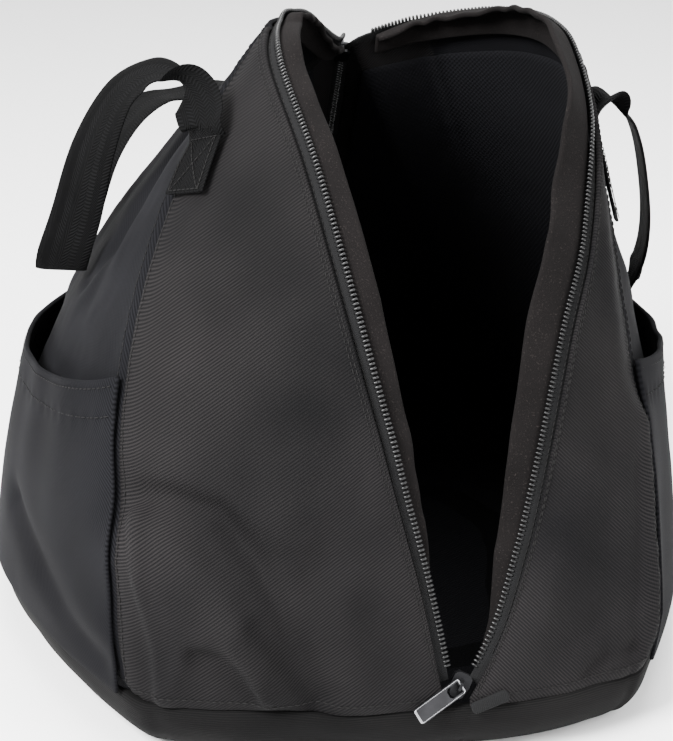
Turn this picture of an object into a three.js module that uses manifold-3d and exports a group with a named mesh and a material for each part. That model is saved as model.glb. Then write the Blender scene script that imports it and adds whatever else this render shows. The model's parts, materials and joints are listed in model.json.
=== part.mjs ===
// Soft padded helmet carry bag, standing open: a dished base with two tent-like
// halves above it, joined by one long zip that runs from the front, over the top
// and down the back. Millimetres, +Z up, front towards -Y, origin at the middle
// of the face it stands on.

import * as THREE from "three";
import Module from "manifold-3d";

const wasm = await Module();
wasm.setup();

// Main sizes
const bagWidth = 352;
const bagDepth = 356;
const bagHeight = 296;
const baseSeamHeight = 28;
const restInset = 26;
const clothWall = 2.4;
const baseWall = 5.5;
const baseFloor = 7;
const liningThickness = 1;
const liningGap = 0.3;
const sewnGap = 0.3;

// Zip sizes, all measured across the zip from the cloth edge
const clothSetback = 6;
const tapeThickness = 1.2;
const tapeLap = 3;
const toothWidth = 2.35;
const toothHeight = 2.2;
const tapeDepth = 3.1;
const tapeStart = 6.5;
const guardThickness = 2.6;
const guardLap = 6;
const guardGap = 0.75;

// Slider and pull sizes
const sliderLength = 11;
const sliderOpenWidth = 8;
const sliderClosedWidth = 6;
const sliderPlate = 1.3;
const sliderHeight = 5.6;
const wedgeLength = 3.6;
const wedgeWidth = 2.6;
const bridgeWidth = 1.2;
const bridgeSpan = 5.8;
const bridgeBar = 1;
const axisHeight = 1.35;
const eyeBar = 1.2;
const pullLength = 24;
const pullWidth = 7.4;
const pullThickness = 1.5;
const pullClearance = 0.5;
const eyeLength = 6.2;
const eyeWidth = 4.6;
const endTabLength = 17;
const endTabWidth = 5;
const endTabThickness = 2.6;

// Places and turns of the sliders, pulls and end tab
const frontShift = 3;
const frontSliderYaw = -16;
const frontPullYaw = -33;
const frontPullLift = 18;
const rearShift = 7.4;
const rearPullLift = -3;
const endTabStation = 1.08;
const endTabShare = 0.07;
const endTabTurn = 8;

// Webbing and pocket sizes
const webWidth = 24;
const webThickness = 1.8;
const strapLift = 1.6;
const pocketCloth = 1.8;
const pocketGap = 0.9;
const pocketOpening = 8.5;

// Half outlines. One row per station round a half, from front centre to back
// centre. Percent columns: base seam x (half width), base seam y (half depth),
// zip line x (half width), zip line y (half depth), zip line z (height),
// low bulge and high bulge of the cloth between the two (half width).
const leftRows = [
  [8.5, -103.4, 11.9, -102.3, 10.8, 0.0, 0.0],
  [-3.4, -103.4, 7.4, -96.6, 25.3, 1.1, 0.0],
  [-16.5, -102.2, 3.4, -92.7, 35.5, 2.8, 0.0],
  [-28.4, -100.6, -1.7, -87.6, 48.0, 5.1, 0.0],
  [-39.8, -98.3, -9.1, -75.3, 65.9, 9.1, 2.3],
  [-50.0, -95.5, -16.0, -53.5, 83.5, 14.0, 8.0],
  [-59.7, -91.6, -21.5, -26.5, 95.5, 21.0, 24.0],
  [-68.2, -84.3, -19.5, -6.5, 99.2, 27.0, 36.0],
  [-85.8, -47.8, -14.5, 4.5, 99.5, 25.0, 36.0],
  [-98.3, -2.8, -9.2, 14.6, 98.0, 24.0, 32.0],
  [-94.3, 42.1, -3.1, 27.5, 94.3, 24.0, 30.7],
  [-73.9, 76.4, 2.8, 38.2, 91.2, 22.0, 26.1],
  [-62.5, 84.3, 6.8, 50.0, 89.6, 18.2, 13.6],
  [-52.3, 88.2, 6.8, 63.5, 79.7, 12.5, 5.7],
  [-40.9, 91.6, 5.7, 77.0, 66.2, 8.0, 1.7],
  [-28.4, 93.8, 4.0, 88.2, 48.0, 5.1, 0.0],
  [-13.6, 96.1, 2.8, 94.9, 25.3, 1.1, 0.0],
  [1.7, 96.6, 1.7, 97.8, 13.5, 0.0, 0.0],
];
const rightRows = [
  [15.3, -103.4, 11.9, -102.3, 10.8, 0.0, 0.0],
  [18.8, -103.4, 20.5, -95.5, 18.2, 1.1, 0.0],
  [26.7, -102.8, 28.4, -88.2, 28.4, 2.3, 0.0],
  [34.7, -101.7, 36.4, -78.7, 41.6, 4.0, 0.0],
  [42.6, -100.0, 46.0, -63.5, 57.8, 5.1, 0.0],
  [50.0, -97.2, 54.5, -49.4, 68.9, 6.2, 0.0],
  [57.4, -93.8, 61.4, -30.3, 82.8, 8.5, 1.1],
  [64.2, -87.1, 63.6, -5.6, 92.2, 10.2, 2.3],
  [83.0, -46.1, 61.9, 12.9, 95.3, 10.2, 2.8],
  [94.3, -1.1, 56.8, 29.8, 95.6, 10.2, 3.4],
  [90.9, 42.1, 47.2, 43.8, 94.6, 11.4, 4.5],
  [71.6, 77.5, 30.1, 52.8, 92.6, 11.4, 4.5],
  [62.5, 84.3, 6.8, 50.0, 89.6, 11.4, 3.4],
  [52.3, 88.2, 6.8, 63.5, 79.7, 9.1, 2.3],
  [40.9, 91.6, 5.7, 77.0, 66.2, 6.8, 1.1],
  [28.4, 93.8, 4.0, 88.2, 48.0, 4.0, 0.0],
  [14.8, 96.1, 2.8, 94.9, 25.3, 0.6, 0.0],
  [1.7, 96.6, 1.7, 97.8, 13.5, 0.0, 0.0],
];

// Share of the front-to-back bulge left in the upper cloth
const ridgeShape = 0.35;

// Rows of points up the cloth from the base seam to its edge
const clothSteps = 10;

// Stations of the seams, counted in rows
const frontCorner = 7;
const backCorner = 11;
const sliderStation = 12;
const lastStation = leftRows.length - 1;

// Dents and folds. Columns: start station, start height share, end station,
// end height share, half width (mm), depth (mm, plus is outwards).
const leftFolds = [
  [6.6, 0.33, 3.6, 0.44, 17, -5.0],
  [6.5, 0.24, 3.6, 0.06, 15, 4.5],
  [5.0, 0.12, 3.9, 0.05, 10, -3.5],
  [8.6, 0.16, 7.2, 0.03, 9, -4.0],
  [8.3, 0.02, 7.2, 0.10, 12, 2.5],
  [7.0, 0.02, 7.0, 0.86, 5, 1.2],
  [7.9, 0.88, 8.2, 0.55, 9, -2.0],
];
const rightFolds = [
  [6.9, 0.06, 6.9, 0.40, 16, 4.0],
  [3.2, 0.20, 5.6, 0.12, 13, -2.0],
  [7.0, 0.02, 7.0, 0.86, 5, 1.0],
  [8.5, 0.25, 9.8, 0.20, 16, -3.0],
];

// Zip guard. Columns: station, width past the cloth edge (mm), inward tilt (deg)
const leftGuard = [
  [0.6, 3.5, 10],
  [2, 10, 15],
  [4, 15, 25],
  [6, 14, 35],
  [8, 12, 60],
  [10, 9, 80],
  [11.4, 5, 85],
];
const rightGuard = [
  [0.6, 4, 10],
  [2, 13, 15],
  [4, 20, 20],
  [6, 22, 25],
  [8, 21, 55],
  [10, 18, 80],
  [11.7, 8, 80],
];

// Handles. Columns: x (half width), y (half depth), z (height) in percent,
// then the direction across the webbing.
const leftLoop = [
  [-41.2, -31.5, 86.4, 0.68, -0.73, -0.10],
  [-42.6, -26.4, 89.8, 0.60, -0.76, -0.25],
  [-46.5, -21.3, 91.7, 0.50, -0.84, -0.20],
  [-53.0, -16.3, 91.8, 0.30, -0.95, -0.10],
  [-61.2, -11.2, 87.7, 0.51, -0.86, 0.00],
  [-68.1, -7.9, 79.2, 0.77, -0.62, 0.15],
  [-73.3, -6.2, 68.6, 0.94, -0.35, 0.00],
  [-77.2, -5.6, 62.1, 0.97, -0.25, 0.00],
  [-77.9, -3.4, 59.5, 0.97, -0.25, 0.00],
  [-76.6, -0.6, 61.2, 0.95, -0.30, 0.00],
  [-72.7, 4.5, 67.3, 0.91, -0.41, 0.00],
  [-66.5, 13.5, 74.4, 0.71, -0.71, 0.00],
  [-58.7, 23.6, 79.2, 0.51, -0.86, 0.00],
  [-50.0, 33.7, 81.4, 0.35, -0.94, 0.00],
  [-41.3, 41.6, 81.3, 0.30, -0.95, 0.00],
  [-29.5, 46.6, 82.1, 0.10, -0.99, 0.10],
];
const rightLoop = [
  [71.8, 0.6, 82.9, 0.10, 0.99, -0.05],
  [74.2, 3.9, 82.9, 0.08, 1.00, 0.00],
  [77.5, 6.7, 81.2, 0.08, 1.00, 0.00],
  [81.7, 8.4, 78.6, 0.10, 0.99, 0.00],
  [84.9, 10.1, 74.2, 0.10, 0.99, 0.00],
  [87.7, 12.4, 67.7, 0.10, 0.99, 0.00],
  [89.6, 14.6, 61.1, 0.10, 0.99, 0.00],
  [89.9, 16.9, 55.3, 0.10, 0.99, 0.00],
  [88.7, 20.2, 50.5, 0.10, 0.99, 0.00],
  [86.9, 24.7, 48.3, 0.10, 0.99, 0.00],
  [83.0, 32.6, 53.4, 0.15, 0.99, 0.00],
  [80.1, 37.1, 61.5, 0.10, 0.99, 0.00],
  [75.6, 41.0, 70.3, 0.00, 1.00, 0.00],
  [69.3, 44.9, 77.4, -0.10, 0.99, 0.00],
  [62.5, 48.9, 80.7, -0.30, 0.95, 0.00],
  [57.6, 52.0, 80.6, -0.51, 0.86, 0.00],
];

const cloth = { color: 0x2b2b2d, roughness: 0.92, metalness: 0 };
const clothDark = { color: 0x1c1c1f, roughness: 0.95, metalness: 0 };
const webbing = { color: 0x141415, roughness: 0.85, metalness: 0 };
const plastic = { color: 0x18181a, roughness: 0.45, metalness: 0 };
const gunmetal = { color: 0x6e6f72, roughness: 0.32, metalness: 0.9 };

const vec = (x, y, z) => new THREE.Vector3(x, y, z);
const lerp = (a, b, k) => a + (b - a) * k;
const clamp = (x, lo, hi) => Math.min(Math.max(x, lo), hi);

// Smooth value of a table at a place counted in rows; it may turn sharply at
// one row, the corner
function along(rows, place, corner = -1) {
  const n = rows.length;
  const t = clamp(place, 0, n - 1);
  const i = Math.min(Math.floor(t), n - 2);
  const f = t - i;
  const a = rows[i === corner ? i : Math.max(i - 1, 0)];
  const b = rows[i];
  const c = rows[i + 1];
  const d = rows[i + 1 === corner ? i + 1 : Math.min(i + 2, n - 1)];
  return b.map((_, k) => {
    const square = 2 * a[k] - 5 * b[k] + 4 * c[k] - d[k];
    const cube = 3 * b[k] - a[k] - 3 * c[k] + d[k];
    return 0.5 * (2 * b[k] + (c[k] - a[k]) * f + square * f * f + cube * f ** 3);
  });
}

// Straight value of a table whose first column is the station
function ruled(rows, station) {
  let i = 0;
  while (i < rows.length - 2 && station > rows[i + 1][0]) {
    i += 1;
  }
  const f = clamp((station - rows[i][0]) / (rows[i + 1][0] - rows[i][0]), 0, 1);
  return rows[i].map((value, k) => lerp(value, rows[i + 1][k], f));
}

// Level direction outwards at a place on the base seam; the ridge of the bag
// runs front to back, so higher up the cloth bulges more to the sides
const outward = (x, y, depthShare) =>
  vec(x / bagWidth, y * depthShare / bagDepth, 0).normalize();

// A half of the bag: side is -1 for left and 1 for right
function makeHalf(side, table, folds) {
  const rows = table.map(([bx, by, zx, zy, zz, low, high]) => [
    bx * bagWidth / 200, by * bagDepth / 200,
    zx * bagWidth / 200, zy * bagDepth / 200, zz * bagHeight / 100,
    low * bagWidth / 200, high * bagWidth / 200,
  ]);
  const raw = (place, v) => {
    const [bx, by, , , , low, high] = along(rows, place);
    const [, , ex, ey, ez] = along(rows, place, sliderStation);
    return vec(lerp(bx, ex, v), lerp(by, ey, v), lerp(baseSeamHeight, ez, v))
      .addScaledVector(outward(bx, by, 1), 3 * v * (1 - v) ** 2 * low)
      .addScaledVector(outward(bx, by, ridgeShape), 3 * v * v * (1 - v) * high);
  };
  // Direction along the edge, and outwards from the band of cloth below it
  const edgeAlong = (place) => {
    const closed = place >= sliderStation;
    const low = clamp(place - 0.05, closed ? sliderStation : 0, lastStation);
    const high = clamp(place + 0.05, 0, closed ? lastStation : sliderStation);
    return raw(high, 1).sub(raw(low, 1)).normalize();
  };
  const edgeOut = (place) => {
    const s = clamp(place, 1, lastStation - 1);
    const up = raw(s, 1).sub(raw(s, 1 - 1 / clothSteps));
    return vec(0, 0, 0).crossVectors(up, edgeAlong(s)).multiplyScalar(-side).normalize();
  };
  // The cloth edge lies back from the line where the teeth meet
  const zipLine = rows.map((row) => row.slice(2, 5));
  const edges = rows.map((row, i) => {
    const across = vec(0, 0, 0).crossVectors(edgeAlong(i), edgeOut(i));
    if (i === 0 || i === lastStation) {
      across.set(1, 0, 0);
    }
    across.multiplyScalar(-side).normalize();
    return vec(...row.slice(2, 5)).addScaledVector(across, -clothSetback);
  });
  edges.forEach((edge, i) => {
    rows[i][2] = edge.x;
    rows[i][3] = edge.y;
    rows[i][4] = edge.z;
  });
  const foldLines = folds.map(([ta, va, tb, vb, width, depth]) => ({
    a: raw(ta, va), b: raw(tb, vb), width, depth,
  }));
  const smooth = (place, v) => {
    const p = raw(place, v);
    const [bx, by] = along(rows, place);
    const out = outward(bx, by, 1);
    const fade = Math.min(1, 12 * v) * Math.min(1, 6 * (1 - v));
    let push = 0;
    for (const { a, b, width, depth } of foldLines) {
      const line = b.clone().sub(a);
      const k = clamp(p.clone().sub(a).dot(line) / line.lengthSq(), 0, 1);
      const far = p.distanceTo(a.clone().addScaledVector(line, k));
      push += depth * Math.exp(-((far / width) ** 2));
    }
    return p.addScaledVector(out, push * fade);
  };
  const normal = (place, v) => {
    const s = clamp(place, 0.02, lastStation - 0.02);
    const h = clamp(v, 0.02, 0.98);
    const du = smooth(s + 0.02, h).sub(smooth(s - 0.02, h));
    const dv = smooth(s, h + 0.02).sub(smooth(s, h - 0.02));
    const n = vec(0, 0, 0).crossVectors(dv, du).multiplyScalar(-side);
    const near = clamp((v - 0.8) / 0.2, 0, 1);
    return n.normalize().lerp(edgeOut(place), near * near).normalize();
  };
  const edge = (place) => raw(place, 1);
  return { side, rows, smooth, normal, edge, edgeAlong, edgeOut, zipLine };
}

const left = makeHalf(-1, leftRows, leftFolds);
const right = makeHalf(1, rightRows, rightFolds);

// How far the two halves are joined at a station: 0 open, 1 zipped together
function joined(station) {
  return clamp((station - sliderStation + 0.8) / 0.8, 0, 1);
}

// Frame of the zip strips; where the zip is closed both halves share one
function zipFrame(half, place) {
  const shared = left.edgeOut(place).add(right.edgeOut(place)).normalize();
  const out = half.edgeOut(place).lerp(shared, joined(place)).normalize();
  const t = half.edgeAlong(place);
  const across = vec(0, 0, 0).crossVectors(t, out).multiplyScalar(-half.side).normalize();
  return { edge: half.edge(place), out, across, along: t };
}

// Shared stations: two to a row, and three to a row on the sides
function stations(from, to) {
  const list = [];
  for (let row = 0; row < lastStation; row += 1) {
    const cuts = row >= frontCorner && row < backCorner ? 3 : 2;
    for (let k = 0; k < cuts; k += 1) {
      list.push(row + k / cuts);
    }
  }
  list.push(lastStation);
  const inside = list.filter((s) => s > from + 0.04 && s < to - 0.04);
  return [from, ...inside, to];
}

const allStations = stations(0, lastStation);

// Point and outward direction on the flat facets between stations and heights
function facet(half, place, v) {
  const s = clamp(place, 0, lastStation);
  let i = 0;
  while (i < allStations.length - 2 && s > allStations[i + 1]) {
    i += 1;
  }
  const [a, b] = [allStations[i], allStations[i + 1]];
  const j = Math.min(Math.floor(v * clothSteps + 1e-9), clothSteps - 1);
  const [low, high] = [j / clothSteps, (j + 1) / clothSteps];
  const mix = (of) => {
    const h = (v - low) * clothSteps;
    const near = of(a, low).lerp(of(a, high), h);
    const far = of(b, low).lerp(of(b, high), h);
    return near.lerp(far, (s - a) / (b - a));
  };
  return { p: mix(half.smooth), n: mix(half.normal).normalize() };
}

// Closed mesh from rings of points. Each ring is a closed loop of equal length
// whose second half runs back along the first, so both faces split alike.
function ringSolid(rings) {
  const n = rings[0].length;
  const m = rings.length;
  const half = n / 2;
  const positions = rings.flat().flatMap((p) => [p.x, p.y, p.z]);
  const index = [];
  for (let i = 0; i < m - 1; i += 1) {
    for (let j = 0; j < n; j += 1) {
      const a = i * n + j;
      const b = i * n + (j + 1) % n;
      if (j < half - 1) {
        index.push(a, b, b + n, a, b + n, a + n);
      } else {
        index.push(a, b, a + n, b, b + n, a + n);
      }
    }
  }
  const cap = (start, flip) => {
    for (let j = 0; j < half - 1; j += 1) {
      const quad = [start + j, start + j + 1, start + n - 2 - j, start + n - 1 - j];
      const faces = [[quad[0], quad[2], quad[1]], [quad[0], quad[3], quad[2]]];
      faces.forEach((face) => index.push(...(flip ? face.reverse() : face)));
    }
  };
  cap(0, false);
  cap((m - 1) * n, true);
  return facesOut(positions, index);
}

// Turn all faces outwards by the sign of the enclosed volume
function facesOut(positions, index) {
  let volume = 0;
  const at = (k) => vec(positions[3 * k], positions[3 * k + 1], positions[3 * k + 2]);
  for (let i = 0; i < index.length; i += 3) {
    const a = at(index[i]);
    volume += a.dot(at(index[i + 1]).cross(at(index[i + 2])));
  }
  if (volume < 0) {
    for (let i = 0; i < index.length; i += 3) {
      [index[i], index[i + 1]] = [index[i + 1], index[i]];
    }
  }
  const geometry = new THREE.BufferGeometry();
  geometry.setAttribute("position", new THREE.Float32BufferAttribute(positions, 3));
  geometry.setIndex(index);
  geometry.computeVertexNormals();
  return geometry;
}

// Sheet of cloth between two depths under (or over) the outer face; heights
// gives the height shares of its rows of points at a station
function sheet(half, options) {
  const { from, to, heights, top, bottom, endGap } = options;
  const rings = stations(from, to).map((s, i, list) => {
    const outer = [];
    const inner = [];
    const gap = i === 0 ? endGap : i === list.length - 1 ? -endGap : 0;
    for (const v of heights(s)) {
      const { p, n } = facet(half, s, v);
      if (gap !== 0) {
        const after = half.smooth(Math.min(s + 0.05, lastStation), v);
        const before = half.smooth(Math.max(s - 0.05, 0), v);
        p.addScaledVector(after.sub(before).normalize(), gap);
      }
      for (const [list2, depth] of [[outer, top(s, v)], [inner, bottom(s, v)]]) {
        const q = p.clone().addScaledVector(n, depth);
        q.z = Math.max(q.z, baseSeamHeight);
        list2.push(q);
      }
    }
    return [...outer, ...inner.reverse()];
  });
  return ringSolid(rings);
}

const clothHeights = Array.from({ length: clothSteps + 1 }, (_, j) => j / clothSteps);

function panel(half, from, to) {
  return sheet(half, {
    from, to, heights: () => clothHeights,
    top: () => 0, bottom: () => -clothWall, endGap: sewnGap / 2,
  });
}

// Strip that follows the zip; profile gives points across and outwards
function strip(half, from, to, profile) {
  const rings = stations(from, to).map((s) => {
    const { edge, out, across } = zipFrame(half, s);
    return profile(s).map(([p, q]) =>
      edge.clone().addScaledVector(across, p).addScaledVector(out, q));
  });
  return ringSolid(rings);
}

// Base: a padded dish whose rim carries the seam to the upper cloth
function baseDish() {
  const round = [
    ...stations(0, lastStation).map((s) => along(left.rows, s).slice(0, 2)),
    ...stations(0, lastStation).slice(0, -1).reverse()
      .map((s) => along(right.rows, s).slice(0, 2)),
  ];
  const profile = [
    [restInset, 0],
    [restInset * 0.6, baseSeamHeight * 0.08],
    [restInset * 0.3, baseSeamHeight * 0.25],
    [restInset * 0.1, baseSeamHeight * 0.5],
    [0, baseSeamHeight - sewnGap],
    [baseWall, baseSeamHeight - sewnGap],
    [baseWall + restInset * 0.15, lerp(baseFloor, baseSeamHeight, 0.38)],
    [baseWall + restInset * 0.5, baseFloor + 1.5],
    [baseWall + restInset, baseFloor],
  ];
  const n = round.length;
  const positions = [];
  profile.forEach(([inset, z]) => {
    round.forEach(([x, y]) => {
      const k = 1 - inset / Math.hypot(x, y);
      positions.push(x * k, y * k, z);
    });
  });
  const index = [];
  for (let i = 0; i < profile.length - 1; i += 1) {
    for (let j = 0; j < n; j += 1) {
      const a = i * n + j;
      const b = i * n + (j + 1) % n;
      index.push(a, b, b + n, a, b + n, a + n);
    }
  }
  const bottom = positions.length / 3;
  positions.push(0, 0, 0);
  const floor = bottom + 1;
  positions.push(0, 0, baseFloor);
  const last = (profile.length - 1) * n;
  for (let j = 0; j < n; j += 1) {
    index.push(bottom, (j + 1) % n, j);
    index.push(floor, last + j, last + (j + 1) % n);
  }
  return facesOut(positions, index);
}

// Slip pocket on a side, standing a little open along its top edge, which
// climbs towards the front corner
function pocket(half, topShare, sag, frontClimb) {
  const middle = (frontCorner + backCorner) / 2;
  const reach = (backCorner - frontCorner) / 2;
  const gape = (s, v) => {
    const round = 1 - Math.abs((s - middle) / reach) ** 2.5;
    const rise = clamp(v / topShare, 0, 1) ** 2;
    return pocketGap + pocketOpening * Math.max(round, 0) * rise;
  };
  const top = (s) => {
    const off = (s - middle) / reach;
    return topShare - sag * Math.max(1 - off ** 2, 0) + frontClimb * Math.max(-off, 0) ** 2;
  };
  const below = clothHeights.filter((v) => v < topShare - sag - 0.15);
  const upper = (s) => lerp(below[below.length - 1], top(s), 0.6);
  return sheet(half, {
    from: frontCorner, to: backCorner, heights: (s) => [...below, upper(s), top(s)],
    top: (s, v) => gape(s, v) + pocketCloth, bottom: gape, endGap: 1.2,
  });
}

// Lining inside a half, kept clear of the zip strips
function lining(half) {
  const clear = tapeLap + guardLap + 3.5;
  const heights = (s) => {
    const reach = half.smooth(s, 1).distanceTo(half.smooth(s, 0));
    const end = 1 - clear / (reach * 0.72);
    return clothHeights.map((v, j) => Math.min(v, end - (clothSteps - j) * 0.004));
  };
  const depth = clothWall + liningGap;
  const hem = (v) => (v > 1 - 1 / clothSteps + 0.001 ? 1 : 0);
  return sheet(half, {
    from: 2.5, to: lastStation - 2.5, heights,
    top: (s, v) => -depth - hem(v), bottom: (s, v) => -depth - hem(v) - liningThickness,
    endGap: 0,
  });
}

// Station at a given distance up the zip from its front end
function stationAt(half, distance) {
  const start = vec(...half.zipLine[0]);
  let s = 0;
  while (start.distanceTo(vec(...along(half.zipLine, s, sliderStation))) < distance) {
    s += 0.01;
  }
  return s;
}

// Distance from the cloth edge to the line where the teeth meet
function chainReach(half, s) {
  if (s < sliderStation) {
    return clothSetback;
  }
  const { across } = zipFrame(half, s);
  return left.edge(s).lerp(right.edge(s), 0.5).sub(half.edge(s)).dot(across);
}

// Depth of the tape's outer face: under the cloth where open, flush where closed
const tapeTop = (s) => -lerp(tapeDepth, 0.6, clamp((s - sliderStation) / 0.5, 0, 1));

function tape(half) {
  return strip(half, stationAt(half, tapeStart), lastStation - 0.2, (s) => {
    const end = chainReach(half, s) - toothWidth - 0.35;
    const top = tapeTop(s);
    const low = top - tapeThickness;
    const turn = half.edgeOut(s).cross(zipFrame(half, s).out).length();
    const lap = -tapeLap * clamp(s - 0.6, 0, 1);
    const start = lerp(lap, 0.6 + clothWall * turn, clamp(joined(s) / 0.6, 0, 1));
    return [[start, low], [end, low], [end, top], [start, top]];
  });
}

function teeth(half, from, to) {
  const a = clothSetback - toothWidth;
  const b = clothSetback - 0.15;
  const h = toothHeight / 2;
  return strip(half, from, to, (s) => {
    const middle = tapeTop(s) - tapeThickness / 2;
    return [
      [a, middle - h * 0.7], [(a + b) / 2, middle - h], [b, middle - h * 0.7],
      [b, middle + h * 0.7], [(a + b) / 2, middle + h], [a, middle + h * 0.7],
    ];
  });
}

function guard(half, table) {
  const from = table[0][0];
  const to = table[table.length - 1][0];
  return strip(half, from, to, (s) => {
    const top = -tapeDepth - tapeThickness / 2 - toothHeight / 2 - guardGap;
    const [, width, tilt] = ruled(table, s);
    const turn = THREE.MathUtils.degToRad(tilt);
    const bend = Math.min(width * 0.5, clothSetback + 1);
    const reach = Math.max(width - bend, 1.5);
    const place = (far, up) => [
      bend + far * Math.cos(turn) + up * Math.sin(turn),
      top - far * Math.sin(turn) + up * Math.cos(turn),
    ];
    const t = guardThickness;
    return [
      [-guardLap, top - t], [bend - t * Math.tan(turn / 2), top - t],
      place(reach, -t * 0.8), place(reach, -t * 0.2),
      [bend, top], [-guardLap, top],
    ];
  });
}

// Closed zip down the back: both rows of teeth as one strip
function backTeeth(from, to) {
  const h = toothHeight / 2;
  const rings = stations(from, to).map((s) => {
    const a = zipFrame(left, s);
    const b = zipFrame(right, s);
    const out = a.out.clone().add(b.out).normalize();
    const centre = chainMiddle(s);
    const across = a.across.clone().sub(b.across).normalize();
    const w = toothWidth * 0.92;
    return [
      [-w, -h * 0.7], [0, -h], [w, -h * 0.7], [w, h * 0.7], [0, h], [-w, h * 0.7],
    ].map(([p, q]) => centre.clone().addScaledVector(across, p).addScaledVector(out, q));
  });
  return ringSolid(rings);
}

// Webbing: flat strap through stations, each with its own direction across
function webbingStrap(table, ends) {
  const rows = table.map(([x, y, z, ax, ay, az]) => [
    x * bagWidth / 200, y * bagDepth / 200, z * bagHeight / 100, ax, ay, az,
  ]);
  const all = [...ends[0], ...rows, ...ends[1]];
  const cuts = (all.length - 1) * 3;
  const rings = [];
  for (let k = 0; k <= cuts; k += 1) {
    const place = k / 3;
    const [x, y, z, ax, ay, az] = along(all, place);
    const before = along(all, place - 0.1);
    const after = along(all, place + 0.1);
    const t = vec(after[0] - before[0], after[1] - before[1], after[2] - before[2]).normalize();
    const across = vec(ax, ay, az);
    across.addScaledVector(t, -across.dot(t)).normalize();
    const n = vec(0, 0, 0).crossVectors(t, across).normalize();
    const w = webWidth / 2;
    const h = webThickness / 2;
    rings.push([
      [-w, -h], [w, -h], [w, h], [-w, h],
    ].map(([p, q]) => vec(x, y, z).addScaledVector(across, p).addScaledVector(n, q)));
  }
  return ringSolid(rings);
}

// Sewn end of a strap lying on the cloth, from one place to another
function sewnEnd(half, list) {
  const lift = strapLift + webThickness / 2;
  return list.map(([s, v], i) => {
    const { p, n } = facet(half, s, v);
    const [sb, vb] = list[i === 0 ? 1 : i - 1];
    const t = facet(half, sb, vb).p.sub(p).multiplyScalar(i === 0 ? 1 : -1).normalize();
    const across = vec(0, 0, 0).crossVectors(n, t).normalize();
    p.addScaledVector(n, lift);
    return [p.x, p.y, p.z, across.x, across.y, across.z];
  });
}

const flipRows = (rows) => rows.map(([x, y, z, ax, ay, az]) => [x, y, z, -ax, -ay, -az]);

// Solid helpers for the metal parts
function toManifold(geometry) {
  const flat = geometry.index ? geometry.toNonIndexed() : geometry;
  const source = flat.getAttribute("position");
  const keys = new Map();
  const positions = [];
  const tris = [];
  for (let i = 0; i < source.count; i += 1) {
    const p = [source.getX(i), source.getY(i), source.getZ(i)];
    const key = p.map((x) => Math.round(x * 1e4)).join(",");
    if (!keys.has(key)) {
      keys.set(key, positions.length / 3);
      positions.push(...p);
    }
    tris.push(keys.get(key));
  }
  const mesh = new wasm.Mesh({
    numProp: 3,
    vertProperties: new Float32Array(positions),
    triVerts: new Uint32Array(tris),
  });
  return new wasm.Manifold(mesh);
}

function fromManifold(solid) {
  const mesh = solid.getMesh();
  const geometry = new THREE.BufferGeometry();
  const positions = Float32Array.from(mesh.vertProperties);
  geometry.setAttribute("position", new THREE.BufferAttribute(positions, 3));
  geometry.setIndex(Array.from(mesh.triVerts));
  geometry.computeVertexNormals();
  return geometry;
}

function roundedPlate(length, width, thickness, radius, holes) {
  const shape = new THREE.Shape();
  const a = length / 2;
  const b = width / 2;
  shape.moveTo(-a + radius, -b);
  shape.lineTo(a - radius, -b);
  shape.absarc(a - radius, -b + radius, radius, -Math.PI / 2, 0);
  shape.lineTo(a, b - radius);
  shape.absarc(a - radius, b - radius, radius, 0, Math.PI / 2);
  shape.lineTo(-a + radius, b);
  shape.absarc(-a + radius, b - radius, radius, Math.PI / 2, Math.PI);
  shape.lineTo(-a, -b + radius);
  shape.absarc(-a + radius, -b + radius, radius, Math.PI, Math.PI * 1.5);
  holes.forEach((hole) => shape.holes.push(hole));
  const options = { depth: thickness, bevelEnabled: false, curveSegments: 3 };
  return new THREE.ExtrudeGeometry(shape, options);
}

// Slider: two plates joined by a wedge at the open end, with a bridge over the
// top plate. Its length lies along x, open end at plus, outward face at z = 0.
function sliderBody() {
  const outline = new THREE.Shape();
  const l = sliderLength / 2;
  const a = sliderClosedWidth / 2;
  const b = sliderOpenWidth / 2;
  outline.moveTo(-l, -a + 1);
  outline.lineTo(-l + 1, -a);
  outline.lineTo(0, -b);
  outline.lineTo(l - 1.5, -b);
  outline.lineTo(l, -b + 1.5);
  outline.lineTo(l, b - 1.5);
  outline.lineTo(l - 1.5, b);
  outline.lineTo(0, b);
  outline.lineTo(-l + 1, a);
  outline.lineTo(-l, a - 1);
  outline.closePath();
  const options = { depth: sliderPlate, bevelEnabled: false };
  const top = new THREE.ExtrudeGeometry(outline, options);
  top.translate(0, 0, -sliderPlate);
  const low = new THREE.ExtrudeGeometry(outline, options);
  low.translate(0, 0, -sliderHeight);
  const wedge = roundedPlate(wedgeLength, wedgeWidth, sliderHeight - 0.4, 1, []);
  wedge.translate(l - wedgeLength / 2 - 0.4, 0, -sliderHeight + 0.2);
  const inner = axisHeight + Math.hypot(eyeBar, pullThickness) / 2 + 0.3;
  const arch = new THREE.Shape();
  const c = bridgeSpan / 2;
  arch.moveTo(-c, -0.5);
  arch.lineTo(-c, inner * 0.6);
  arch.lineTo(-c + 1.2, inner + bridgeBar);
  arch.lineTo(c - 1.2, inner + bridgeBar);
  arch.lineTo(c, inner * 0.6);
  arch.lineTo(c, -0.5);
  arch.lineTo(c - bridgeBar, -0.5);
  arch.lineTo(c - bridgeBar, inner * 0.62);
  arch.lineTo(c - bridgeBar - 0.9, inner);
  arch.lineTo(-c + bridgeBar + 0.9, inner);
  arch.lineTo(-c + bridgeBar, inner * 0.62);
  arch.lineTo(-c + bridgeBar, -0.5);
  arch.closePath();
  const bridge = new THREE.ExtrudeGeometry(arch, { depth: bridgeWidth, bevelEnabled: false });
  bridge.translate(0, 0, -bridgeWidth / 2);
  bridge.rotateX(Math.PI / 2);
  return [low, wedge, bridge].reduce(
    (solid, piece) => solid.add(toManifold(piece)), toManifold(top));
}

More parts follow.
